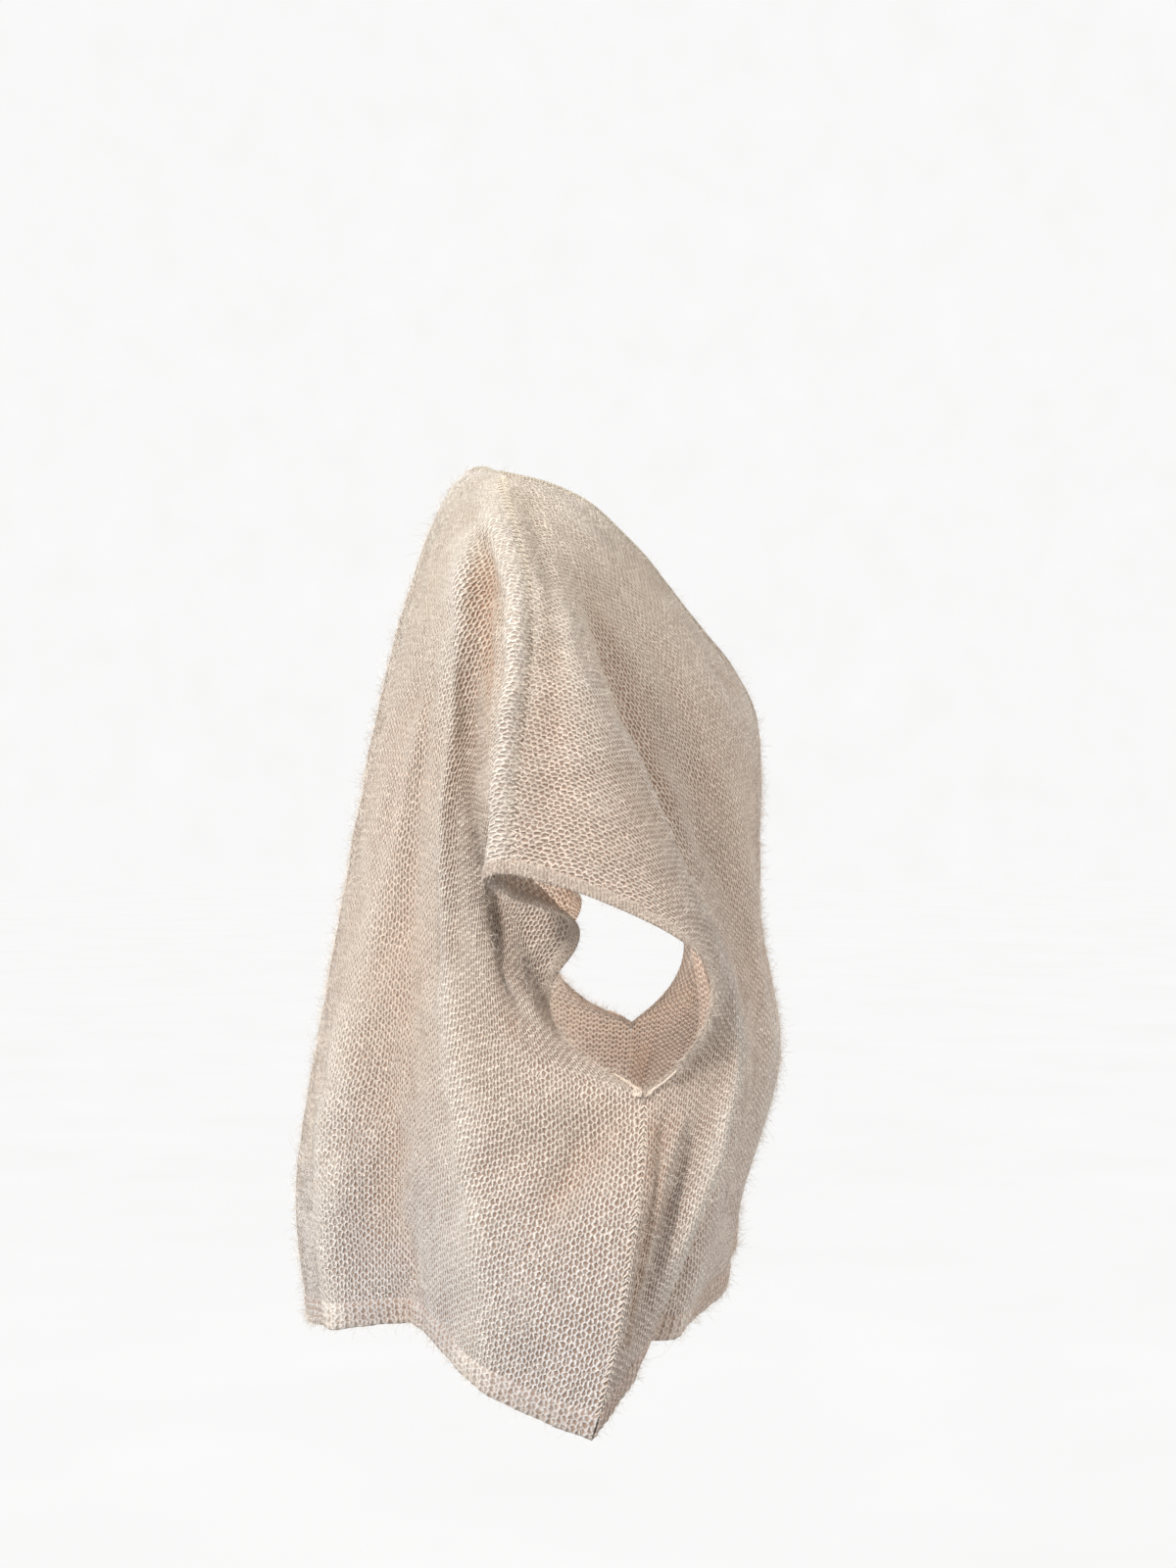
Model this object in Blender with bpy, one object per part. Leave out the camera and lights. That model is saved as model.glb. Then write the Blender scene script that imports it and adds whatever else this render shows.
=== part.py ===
"""Sweater vest: a wide, boxy pullover vest in brushed knit, in the hollow form that it has when worn.

Each panel is described as it is knitted flat, by the distance across from its centre line and the
distance down from the neck point, and a table of its wales (the vertical lines of stitches) says
where they hang. A spline joins the wales into one surface, folds are raised or sunk in it, and
every piece is a wall on that surface. Metres, +Z up. The front faces -Y and the wearer's right
side is -X. The origin is the middle of the neck opening at the height of the neck points.
"""
import bpy
import numpy as np

CM = 0.01

# Flat size of each panel in centimetres, across from the centre line and down from the neck point
HALF_WIDTH = 40.0
LENGTH = 62.0
NECK_HALF_WIDTH = 8.0
FRONT_NECK_DEPTH = 23.5
BACK_NECK_DEPTH = 2.0
NECK_ROUNDING = 0.8
SHOULDER_DROP = 14.5
ARMHOLE_DEPTH = 24.5

# Walls, edges and rib in centimetres
WALL = 0.28
EDGE_WALL = 0.40
NECK_EDGE_WIDTH = 1.0
NECK_EDGE_DROP = 2.4
NECK_ROLL = 0.45
ARMHOLE_EDGE_WIDTH = 0.65
HEM_RIB_HEIGHT = 1.7
RIB_PITCH = 2 / 3
RIB_RELIEF = 0.12
SEAM_GAP = 0.03
EDGE_GAP = 0.07
LEAST_MITRE = 0.7
CORNER_GAP = 0.10

# Where the wales hang, in centimetres: (side, forward, height) from the shoulder seam to the hem.
# Side is outwards from the middle of the wearer, and both halves of a panel hang alike.
WALES_ACROSS = (0.0, 8.0, 16.0, 24.0, 32.0, HALF_WIDTH)
FRONT_WALES = (
    ((0, .3, 1), (0, 3.2, .3), (0, 6.5, -1.5), (0, 10.6, -5.8), (0, 14.2, -10.6),
     (0, 17.3, -15.1), (0, 18.3, -22), (0, 18.7, -31.5), (0, 19.9, -41), (0, 17.8, -48.5),
     (0, 17, -53.4)),
    ((8.5, 0, 0), (9.4, 4.2, -1.8), (9.6, 8.2, -6), (9.7, 12, -11.3), (9.6, 14.9, -17.2),
     (9.4, 16.7, -24), (9.2, 17.5, -32.5), (9.2, 18.6, -41.2), (9.6, 16, -48.5),
     (10, 15.2, -54.3)),
    ((16, .8, -3.6), (16.6, 3.4, -6), (16.5, 5.9, -9.2), (15.9, 8.7, -14.4), (15.5, 10.9, -19.6),
     (15.3, 13, -24.7), (15.2, 14.9, -29.9), (15.5, 16.3, -35), (16.2, 16.7, -40.8),
     (17.2, 15.6, -45.8), (18.8, 14, -52.6), (19.2, 12.9, -56)),
    ((22, 2.2, -10), (22.6, 4.3, -12.1), (22.5, 6.5, -15.3), (21.6, 8.8, -19.3),
     (20.9, 10.9, -23.7), (20.5, 13, -28.1), (20.2, 14.7, -32.5), (20.3, 15.6, -36.6),
     (21.3, 15.7, -40.9), (22.7, 15, -45.1), (24.3, 13.6, -50.5), (25.5, 11.7, -55.2),
     (25.7, 10.6, -57.7)),
    ((25.1, 1.7, -18.3), (25.6, 4.1, -20), (25.6, 6.5, -21.8), (24.9, 9, -24.3),
     (24.1, 11.3, -27.1), (23.6, 13.1, -29.9), (23.1, 14.5, -33), (23, 14.8, -36.4),
     (23.7, 14.3, -39.8), (24.9, 13.6, -42.4), (26.5, 12.7, -45.9), (27.9, 11.4, -50.5),
     (28.7, 9.8, -55.2), (28.9, 8.5, -59.1)),
)
BACK_WALES = (
    ((0, .3, 1), (0, -1.2, 1.3), (0, -2.8, .7), (0, -5.2, -2.9), (0, -6.6, -7.1),
     (0, -8.4, -13.3), (0, -10.2, -21.5), (0, -12.5, -32.5), (0, -14.2, -42), (0, -15.3, -50),
     (0, -15, -55.5), (0, -14.2, -59.3)),
    ((8.5, 0, 0), (9, -1.2, -.6), (9.4, -2.8, -2.4), (9.8, -4.4, -5.5), (10.2, -6, -10.5),
     (10.5, -7.9, -18), (10.7, -9.8, -27), (10.9, -11.4, -36), (11, -12.7, -44.5),
     (11, -12.9, -51.5), (11, -12.3, -58.2)),
    ((16, .8, -3.6), (16.2, -.2, -3.7), (16.2, -1.4, -4.8), (16.3, -2.6, -7),
     (16.4, -3.4, -10.5), (16.3, -4.4, -15), (15.9, -5.6, -20), (15.6, -7.2, -27),
     (15.5, -8.9, -34), (15.7, -10.2, -41), (15.8, -10.4, -48), (15.5, -9.8, -53.4),
     (15.3, -9.2, -57.5)),
    ((22, 2.2, -10), (22.5, 1.2, -9.9), (21.9, .3, -10.8), (20, -.6, -12.8), (18.4, -1.4, -15.8),
     (18, -2, -19.5), (18.8, -2.9, -24.5), (20, -3.4, -29.3), (21.4, -4.2, -35),
     (22.3, -5, -41), (22.7, -5.2, -47), (22.6, -4.8, -52), (22.3, -4.6, -56.9)),
    ((25.1, 1.7, -18.3), (25.5, .7, -18.3), (24.8, -.2, -19.3), (22.6, -.7, -21.3),
     (20.8, -.6, -24.2), (20.8, -.2, -27.5), (22.2, .1, -30.3), (23.8, .5, -33.2),
     (25, .8, -37), (25.9, .9, -41.5), (27, .5, -47), (27.8, .3, -53), (28.2, .3, -59.3)),
)
FRONT_ARMHOLE = ((27, 1.1, -27), (27.5, 4.7, -27.9), (27.5, 7.5, -29), (27.2, 10.8, -30.6),
                 (26.3, 13.1, -32.5), (25.3, 13.8, -35), (25.2, 12.4, -38.2), (26, 9.4, -40.9))
BACK_ARMHOLE = ((27, 1.1, -27), (26.75, .1, -27.15), (26.3, -.35, -27.6), (25.8, .2, -28.2),
                (25.3, 1.7, -28.8), (24.9, 3.4, -29.4), (24, 4.8, -30), (23, 5.3, -30.9),
                (22.3, 4.9, -32.2), (21.7, 3.9, -33.6), (21.5, 3.4, -35.5), (21.9, 3.9, -37.4),
                (23, 5.2, -38.8), (24.5, 7.3, -39.9), (26, 9.4, -40.9))
SIDE_SEAM = ((26, 9.4, -40.9), (28, 9.3, -44.7), (29.5, 8.8, -48.5), (30.8, 7.7, -55.3),
             (31, 7, -58.4), (31, 6.1, -61.4))

# Folds: which side (-1 the wearer's right, 1 the left, 0 both), their line as (across, down)
# points, half width and height in centimetres (a trough's height is below nought), and the parts
# of the line over which they fade in and out.
FRONT_FOLDS = (
    (-1, ((14.5, 8), (17.5, 16), (20, 23), (22.5, 30), (24, 38), (25, 48), (26, 66)), 2.4, -1.5,
     .3, .05),
    (-1, ((36, 42), (34.8, 47), (34, 54), (33.6, 63)), 2.2, -1.1, .4, .5),
    (-1, ((30, 31), (30, 40), (30, 50), (30, 64)), 2.4, 1.1, .4, .5),
    (-1, ((8.5, 16), (10, 26), (11, 38), (12, 50), (13, 66)), 3.2, .9, .5, .05),
    (1, ((14, 7), (16, 15), (18.5, 23), (21, 31), (22, 40), (22, 50), (21, 66)), 2.5, -1.4,
     .3, .05),
    (1, ((35.5, 43), (34.3, 49), (33.5, 55), (33, 63)), 2.2, -1.1, .4, .5),
    (1, ((29, 32), (28.5, 42), (28, 52), (27.5, 64)), 2.5, 1.1, .4, .5),
    (1, ((9, 18), (9.5, 28), (9, 40), (10, 51), (11, 66)), 3, 1, .5, .05),
    (0, ((0, 28), (.1, 44), (0, 66)), 3.2, -1.1, .5, .05),
)
BACK_FOLDS = (
    (-1, ((14, 4), (16.5, 10.5), (20.5, 20.7), (24.5, 30.2), (27.5, 39.4), (30, 49.3), (31, 66)),
     2.8, .7, .3, .05),
    (-1, ((25, 15), (30, 18.5), (32.5, 23), (32.5, 27), (32.5, 32), (34, 37)), 1.8, -.5, .3, .4),
    (-1, ((38, 41), (36, 46), (33.5, 51)), 1.7, -.6, .35, .6),
    (-1, ((20, 34), (20.5, 44), (21, 52), (20.5, 66)), 2.8, -1.4, .5, .05),
    (-1, ((13, 38), (13, 48), (13, 66)), 2.8, .9, .5, .05),
    (1, ((14, 5), (17, 11), (21, 21), (24, 30), (26, 40), (28, 50), (29, 66)), 2.8, .8, .3, .05),
    (1, ((25, 15), (30, 19), (32.5, 23), (32, 27), (32, 32), (33.5, 37)), 1.9, -.5, .3, .4),
    (1, ((38, 42), (36.5, 47), (34.5, 53)), 1.7, -.5, .35, .6),
    (1, ((19, 30), (19, 42), (18.5, 52), (18, 66)), 3, -1.3, .5, .05),
    (1, ((10, 36), (10.5, 48), (10, 66)), 2.8, .8, .5, .05),
    (0, ((1, 14), (1.5, 30), (1, 46), (1.5, 66)), 3, -.5, .5, .05),
)
FOLD_FREE = 2.5

# Grid of each panel: columns in centimetres across, and rows above and below the underarm
COLUMNS = (0, 1, 2.2, 3.6, 5, 6.4, 7.8, 9, 10.5, 12, 14, 16, 18, 20, 22, 24, 26, 28, 30, 32, 34,
           36, 38)
NECK_COLUMN = 9
ARMHOLE_ROWS = 18
SIDE_ROWS = 12
CROWDING = 0.75
EDGE_SPLIT = (0.2, 0.4, 1)
PROBE = 0.15
EVEN_LEVELS = 41
EVEN_PLACES = 241


def spline(knots, values, places):
    """Natural cubic spline through values[k] at knots[k], read at each place i from values[:, i]."""
    knots = np.asarray(knots, float)
    step = np.diff(knots)
    count = len(knots)
    left = np.eye(count)
    right = np.zeros((count, count))
    for k in range(1, count - 1):
        left[k, k - 1:k + 2] = step[k - 1], 2 * (step[k - 1] + step[k]), step[k]
        right[k, k - 1:k + 2] = 6 / step[k - 1], -6 / step[k - 1] - 6 / step[k], 6 / step[k]
    values = np.broadcast_to(values, (count, len(places), values.shape[2]))
    bend = np.einsum('jk,kic->jic', np.linalg.solve(left, right), values)
    k = np.clip(np.searchsorted(knots, places) - 1, 0, count - 2)
    i = np.arange(len(places))
    near = ((knots[k + 1] - places) / step[k])[:, None]
    far = 1 - near
    size = (step[k] ** 2 / 6)[:, None]
    return (near * values[k, i] + far * values[k + 1, i]
            + size * ((near ** 3 - near) * bend[k, i] + (far ** 3 - far) * bend[k + 1, i]))


def along_curve(points, fraction):
    """Points at the given fractions of the length of a smooth curve through the points."""
    points = np.asarray(points, float)
    reach = np.concatenate(([0], np.cumsum(np.linalg.norm(np.diff(points, axis=0), axis=1))))
    return spline(reach / reach[-1], points[:, None, :], fraction)


def unit(vectors):
    return vectors / np.linalg.norm(vectors, axis=-1, keepdims=True)


def shoulder_line(across):
    """How far down the shoulder seam runs at each place across."""
    slope = SHOULDER_DROP / (HALF_WIDTH - NECK_HALF_WIDTH)
    return slope * np.maximum(np.abs(across) - NECK_HALF_WIDTH, 0)


def underarm():
    """How far down the armhole ends."""
    return SHOULDER_DROP + ARMHOLE_DEPTH


def flat_reach(across, fraction):
    """Length on the flat panel from the centre line out to a place, along a row of the grid."""
    slope = SHOULDER_DROP / (HALF_WIDTH - NECK_HALF_WIDTH) * (1 - fraction)
    beyond = np.maximum(np.abs(across) - NECK_HALF_WIDTH, 0)
    return np.sign(across) * (np.abs(across) + beyond * (np.hypot(1, slope) - 1))


class Cloth:
    """The hanging surface of one panel, with its folds, over flat places across and down."""

    def __init__(self, wales, armhole, folds, neck_depth, facing):
        self.wales = wales
        self.armhole = armhole
        self.folds = folds
        self.neck_depth = neck_depth
        self.facing = facing
        self.even = self.even_table()

    def neck_line(self, across):
        """The neck opening's edge: a V, or a shallow curve, rounded at its lowest point."""
        reach = np.hypot(across, NECK_ROUNDING) - NECK_ROUNDING
        full = np.hypot(NECK_HALF_WIDTH, NECK_ROUNDING) - NECK_ROUNDING
        return self.neck_depth * (1 - reach / full)

    def edge_wale(self, fraction):
        """The outermost wale: the armhole edge, then the side seam."""
        base = ARMHOLE_DEPTH / (LENGTH - SHOULDER_DROP)
        edge = along_curve(self.armhole, np.minimum(fraction / base, 1))
        side = along_curve(SIDE_SEAM, np.maximum((fraction - base) / (1 - base), 0))
        return np.where((fraction < base)[:, None], edge, side)

    def smooth(self, guide, fraction):
        """Points of the surface without its folds, between the wales of the table."""
        half = [along_curve(points, fraction) for points in self.wales]
        half.append(self.edge_wale(fraction))
        mirrored = [points * (-1, 1, 1) for points in half[:0:-1]]
        knots = [-place for place in WALES_ACROSS[:0:-1]] + list(WALES_ACROSS)
        side, forward, height = spline(knots, np.array(mirrored + half), guide).T
        return np.stack((side, -forward, height), axis=1)

    def folded(self, guide, fraction):
        """Points of the surface with its folds raised or sunk along its normal."""
        top = shoulder_line(guide)
        down = top + fraction * (LENGTH - top)
        lift = np.zeros(len(guide))
        for side, line, half_width, height, fade_in, fade_out in self.folds:
            here = np.abs(guide) if side == 0 else guide * side
            lift += height * fold_profile(here, down, line, half_width, fade_in, fade_out)
        lift *= ease((HALF_WIDTH - np.abs(guide)) / FOLD_FREE) * ease((down - top) / FOLD_FREE)
        return self.smooth(guide, fraction) + lift[:, None] * self.normal(
            self.smooth, guide, fraction, PROBE, PROBE / LENGTH)

    def normal(self, points_of, first, second, first_step, second_step):
        """Unit normals, outwards, of a surface given by its points function."""
        right = points_of(first + first_step, second) - points_of(first - first_step, second)
        lower = points_of(first, second + second_step) - points_of(first, second - second_step)
        return self.facing * unit(np.cross(right, lower))

    def even_table(self):
        """Guide places at even shares of each row's length, so that stitches are spread evenly."""
        guides = np.linspace(-HALF_WIDTH, HALF_WIDTH, EVEN_PLACES)
        table = []
        for fraction in np.linspace(0, 1, EVEN_LEVELS):
            points = self.folded(guides, np.full(EVEN_PLACES, fraction))
            reach = np.cumsum(np.linalg.norm(np.diff(points, axis=0, prepend=points[:1]), axis=1))
            reach -= reach[EVEN_PLACES // 2]
            reach /= np.where(reach < 0, -reach[0], reach[-1])
            table.append(np.interp(np.linspace(-1, 1, EVEN_PLACES), reach, guides))
        return np.array(table)

    def guide_at(self, across, fraction):
        share = flat_reach(across, fraction) / flat_reach(HALF_WIDTH, fraction)
        place = np.clip((share + 1) / 2, 0, 1) * (EVEN_PLACES - 1)
        level = np.clip(fraction, 0, 1) * (EVEN_LEVELS - 1)
        column = np.minimum(place.astype(int), EVEN_PLACES - 2)
        row = np.minimum(level.astype(int), EVEN_LEVELS - 2)
        right = place - column
        low = level - row
        return ((1 - low) * ((1 - right) * self.even[row, column]
                             + right * self.even[row, column + 1])
                + low * ((1 - right) * self.even[row + 1, column]
                         + right * self.even[row + 1, column + 1]))

    def place(self, across, down):
        """Points of the cloth in centimetres, from places on the flat panel."""
        top = shoulder_line(across)
        fraction = (down - top) / (LENGTH - top)
        return self.folded(self.guide_at(across, fraction), fraction)

    def outward(self, across, down):
        inside = HALF_WIDTH - PROBE
        return self.normal(self.place, np.clip(across, -inside, inside), down, PROBE, PROBE)


def fold_profile(across, down, line, half_width, fade_in, fade_out):
    """One fold's height from 0 to 1: a soft bell across its line that fades at both ends."""
    line = np.array(line, float)
    path = along_curve(line[:, [0, 1, 1]], np.linspace(0, 1, 25))[:, :2]
    here = np.stack((across, down), axis=1)
    nearest = np.full(len(here), np.inf)
    travelled = np.zeros(len(here))
    for k, (start, end) in enumerate(zip(path[:-1], path[1:])):
        run = end - start
        part = np.clip((here - start) @ run / (run @ run), 0, 1)
        gap = np.linalg.norm(here - start - part[:, None] * run, axis=1)
        closer = gap < nearest
        nearest = np.where(closer, gap, nearest)
        travelled = np.where(closer, (k + part) / (len(path) - 1), travelled)
    fade = ease(travelled / fade_in) * ease((1 - travelled) / fade_out)
    return fade * np.exp(-(nearest / half_width) ** 2)


def ease(value):
    value = np.clip(value, 0, 1)
    return value * value * (3 - 2 * value)


FRONT = Cloth(FRONT_WALES, FRONT_ARMHOLE, FRONT_FOLDS, FRONT_NECK_DEPTH, -1)
BACK = Cloth(BACK_WALES, BACK_ARMHOLE, BACK_FOLDS, BACK_NECK_DEPTH, 1)


def seam_frame(across, down, along):
    """Mitre directions where front and back meet: normal, stretch of the wall, and way inwards."""
    front = FRONT.outward(across, down)
    back = BACK.outward(across, down)
    mitre = unit(front + back)
    stretch = 1 / np.maximum(np.sum(mitre * front, axis=1), LEAST_MITRE)
    cross = unit(np.cross(along, mitre))
    return mitre, stretch[:, None], cross


def neck_cut(cloth, across):
    """Flat places down of the line between the neck edge and its panel."""
    part = np.abs(across) / NECK_COLUMN
    free = cloth.neck_line(across * NECK_HALF_WIDTH / NECK_COLUMN)
    width = NECK_EDGE_DROP if cloth is FRONT else NECK_EDGE_WIDTH
    return free + width * (1 - part) + shoulder_line(np.array(NECK_COLUMN)) * part


def row_fractions():
    """Rows from the shoulder seam to the hem rib, closer together near both ends of the armhole;
    the row at ARMHOLE_ROWS is just under the arm."""
    cut = HALF_WIDTH - ARMHOLE_EDGE_WIDTH
    top = shoulder_line(np.array(cut))
    rib = LENGTH - HEM_RIB_HEIGHT
    under = (underarm() + ARMHOLE_EDGE_WIDTH - top) / (rib - top)
    part = np.linspace(0, 1, ARMHOLE_ROWS + 1)
    upper = under * (part - CROWDING * np.sin(2 * np.pi * part) / (2 * np.pi))
    return np.concatenate((upper, np.linspace(under, 1, SIDE_ROWS + 1)[1:]))


def panel_grid(cloth):
    """Flat places of a panel's grid: arrays of across and down, rows by columns."""
    half = np.array(COLUMNS + (HALF_WIDTH - ARMHOLE_EDGE_WIDTH,), float)
    columns = np.concatenate((-half[:0:-1], half))
    rows = row_fractions()
    across = np.tile(columns, (len(rows), 1))
    side_rows = np.arange(len(rows)) >= ARMHOLE_ROWS
    across[side_rows, 0] = -HALF_WIDTH
    across[side_rows, -1] = HALF_WIDTH
    at_neck = np.abs(columns) <= NECK_COLUMN
    top = np.where(at_neck, neck_cut(cloth, columns), shoulder_line(columns))
    rib = LENGTH - HEM_RIB_HEIGHT
    down = top + rows[:, None] * (rib - top)
    return across, down


def wall_points(cloth, across, down, wall):
    """Middle points and outward normals of a wall over a grid of flat places, in centimetres."""
    shape = across.shape + (3,)
    middle = cloth.place(across.ravel(), down.ravel()).reshape(shape)
    normal = cloth.outward(across.ravel(), down.ravel()).reshape(shape)
    return middle, normal * wall / 2


def seam_wall(middle, half_wall, across, down, inner, wall):
    """Turns the wall at a seam edge to the mitre and draws the edge in from the seam."""
    normal, stretch, cross = seam_frame(across, down, along_edge(middle))
    half_wall[:] = normal * stretch * wall / 2
    middle += np.sign(np.sum(cross * (inner - middle), axis=1))[:, None] * cross * SEAM_GAP / 2


def draw_in(middle, half_wall, inner, gap):
    """Draws an edge in by a gap, square to the edge, on the side of the next row of points."""
    cross = unit(np.cross(along_edge(middle), half_wall))
    middle += np.sign(np.sum(cross * (inner - middle), axis=1))[:, None] * cross * gap


def along_edge(middle):
    return unit(np.gradient(middle, axis=0))


def panel_wall(cloth):
    across, down = panel_grid(cloth)
    middle, half_wall = wall_points(cloth, across, down, WALL)
    neck = slice(columns_at(-NECK_COLUMN), columns_at(NECK_COLUMN) + 1)
    draw_in(middle[0, neck], half_wall[0, neck], middle[1, neck], SEAM_GAP)
    for seam in (slice(None, neck.start + 1), slice(neck.stop - 1, None)):
        seam_wall(middle[0, seam], half_wall[0, seam], across[0, seam], down[0, seam],
                  middle[1, seam], WALL)
    side_rows = slice(ARMHOLE_ROWS, None)
    arm_rows = slice(None, ARMHOLE_ROWS)
    for edge, inner in ((0, 1), (-1, -2)):
        draw_in(middle[arm_rows, edge], half_wall[arm_rows, edge], middle[arm_rows, inner],
                EDGE_GAP)
        seam_wall(middle[side_rows, edge], half_wall[side_rows, edge], across[side_rows, edge],
                  down[side_rows, edge], middle[side_rows, inner], WALL)
        for corner, next_row in ((ARMHOLE_ROWS, ARMHOLE_ROWS + 1), (-1, -2)):
            point = middle[corner, edge]
            point += unit(middle[next_row, edge] - point) * CORNER_GAP
    draw_in(middle[-1, 1:-1], half_wall[-1, 1:-1], middle[-2, 1:-1], EDGE_GAP)
    return middle + half_wall, middle - half_wall


def columns_at(place):
    """Number of the panel's column at a place across."""
    return len(COLUMNS) + int(np.sign(place)) * COLUMNS.index(abs(place))


def rib_wall(cloth):
    """The hem rib: straight between the panel's columns, with ribs raised on its outer face."""
    half = np.array(COLUMNS + (HALF_WIDTH,), float)
    columns = np.concatenate((-half[:0:-1], half))
    levels = np.array((LENGTH - HEM_RIB_HEIGHT, LENGTH))
    across = np.tile(columns, (2, 1))
    down = np.tile(levels[:, None], (1, len(columns)))
    middle, half_wall = wall_points(cloth, across, down, WALL)
    for edge, inner in ((0, 1), (-1, -2)):
        seam_wall(middle[:, edge], half_wall[:, edge], across[:, edge], down[:, edge],
                  middle[:, inner], WALL)
    steps = round(2 * HALF_WIDTH / RIB_PITCH) * 2
    fine = np.linspace(-HALF_WIDTH, HALF_WIDTH, steps + 1)
    outer = refine(middle + half_wall, columns, fine)
    inner = refine(middle - half_wall, columns, fine)
    raised = np.where(np.arange(steps + 1) % 2 == 1, RIB_RELIEF, 0)
    outer += raised[:, None] * unit(outer - inner)
    return outer, inner


def refine(rows, columns, fine):
    """Reads rows of points straight between their columns."""
    return np.stack([np.stack([np.interp(fine, columns, row[:, axis]) for axis in range(3)], axis=1)
                     for row in rows])


def neck_ring():
    """The neck edge, as sections from its free rim to its panel, right round the opening."""
    columns = np.array([c for c in COLUMNS if c <= NECK_COLUMN], float)
    columns = np.concatenate((-columns[:0:-1], columns))
    outer, inner = [], []
    for cloth, order in ((FRONT, slice(None, None)), (BACK, slice(-2, 0, -1))):
        cut = neck_cut(cloth, columns)
        rim_across = columns * NECK_HALF_WIDTH / NECK_COLUMN
        rim = cloth.neck_line(rim_across)
        across = np.stack([rim_across + (columns - rim_across) * part for part in (0, .5, 1)])
        down = np.stack([rim + (cut - rim) * part for part in (0, .5, 1)])
        middle, half_wall = wall_points(cloth, across, down, EDGE_WALL)
        for edge in (0, -1):
            normal, stretch, cross = seam_frame(across[:, edge], down[:, edge],
                                                unit(np.gradient(middle[:, edge], axis=0)))
            half_wall[:, edge] = normal * stretch * EDGE_WALL / 2
        roll = NECK_ROLL * np.array((1, .25, 0))[:, None, None]
        middle = middle - roll * unit(half_wall)
        outer.append((middle + half_wall)[:, order])
        inner.append((middle - half_wall)[:, order])
    return np.concatenate(outer, axis=1), np.concatenate(inner, axis=1)


def armhole_ring(side):
    """One armhole's rim, as sections from its free edge to the panel, right round the opening."""
    cut = HALF_WIDTH - ARMHOLE_EDGE_WIDTH
    outer, inner = [], []
    rows = row_fractions()
    under = rows[ARMHOLE_ROWS]
    rows = rows[:ARMHOLE_ROWS]
    for cloth, order in ((FRONT, slice(-1, 0, -1)), (BACK, slice(0, -1))):
        rib = LENGTH - HEM_RIB_HEIGHT
        top = shoulder_line(np.array(cut))
        free = SHOULDER_DROP + ARMHOLE_DEPTH * rows / under
        free = np.append(free, underarm())
        at_cut = np.append(top + rows * (rib - top), underarm() + ARMHOLE_EDGE_WIDTH)
        cut_across = np.append(np.full(ARMHOLE_ROWS, cut), HALF_WIDTH)
        across = side * np.stack((np.full(ARMHOLE_ROWS + 1, HALF_WIDTH), cut_across))
        down = np.stack((free, at_cut))
        middle, half_wall = wall_points(cloth, across, down, EDGE_WALL)
        for edge in (0, -1):
            normal, stretch, cross = seam_frame(across[:, edge], down[:, edge],
                                                unit(np.gradient(middle[:, edge], axis=0)))
            half_wall[:, edge] = normal * stretch * EDGE_WALL / 2
        outer.append((middle + half_wall)[:, order])
        inner.append((middle - half_wall)[:, order])
    return np.concatenate(outer, axis=1), np.concatenate(inner, axis=1)


def solid(name, outer, inner, material, ring=False):
    """One closed wall between two grids of points, rows by columns; a ring joins its last column
    to its first."""
    rows, columns = outer.shape[:2]
    points = np.concatenate((outer.reshape(-1, 3), inner.reshape(-1, 3))) * CM
    number = np.arange(rows * columns).reshape(rows, columns)
    if ring:
        number = np.concatenate((number, number[:, :1]), axis=1)
    under = number + rows * columns
    faces = [grid_faces(number), grid_faces(under)[:, ::-1]]
    borders = [(number[0], under[0]), (under[-1], number[-1])]
    if not ring:
        borders += [(under[:, 0], number[:, 0]), (number[:, -1], under[:, -1])]
    faces += [grid_faces(np.stack((lower, upper))) for upper, lower in borders]
    faces = triangles(points, np.concatenate(faces), rows * columns)
    mesh = bpy.data.meshes.new(name)
    mesh.from_pydata(points.tolist(), [], faces.tolist())
    mesh.validate()
    if signed_volume(points, faces) < 0:
        mesh.flip_normals()
    mesh.shade_smooth()
    mesh.materials.append(material)
    piece = bpy.data.objects.new(name, mesh)
    bpy.context.scene.collection.objects.link(piece)
    return piece


def grid_faces(number):
    corners = (number[:-1, :-1], number[1:, :-1], number[1:, 1:], number[:-1, 1:])
    return np.stack([corner.ravel() for corner in corners], axis=1)


def triangles(points, faces, outer_count):
    """Splits four-sided faces: along the shorter diagonal on the faces of the wall, and across its
    edges from the outer corner further along EDGE_SPLIT, so that two pieces split the faces
    between them alike."""
    corners = points[faces]
    first = np.linalg.norm(corners[:, 0] - corners[:, 2], axis=1)
    second = np.linalg.norm(corners[:, 1] - corners[:, 3], axis=1)
    outer = faces < outer_count
    across_edge = outer.any(axis=1) & ~outer.all(axis=1)
    lead = np.argmax(np.where(outer, corners @ np.array(EDGE_SPLIT), -np.inf), axis=1)
    start = np.where(across_edge, lead, second < first)
    order = (start[:, None] + np.arange(4)) % 4
    faces = np.take_along_axis(faces, order, axis=1)
    return np.concatenate((faces[:, (0, 1, 2)], faces[:, (0, 2, 3)]))


def signed_volume(points, faces):
    corners = points[faces]
    return np.einsum('fc,fc->', corners[:, 0], np.cross(corners[:, 1], corners[:, 2])) / 6


def knit(name, colour, roughness):
    material = bpy.data.materials.new(name)
    material.use_nodes = True
    shader = material.node_tree.nodes['Principled BSDF']
    shader.inputs['Base Color'].default_value = (*colour, 1)
    shader.inputs['Roughness'].default_value = roughness
    shader.inputs['Metallic'].default_value = 0.0
    return material


def clear_scene():
    for piece in list(bpy.data.objects):
        bpy.data.objects.remove(piece, do_unlink=True)


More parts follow.
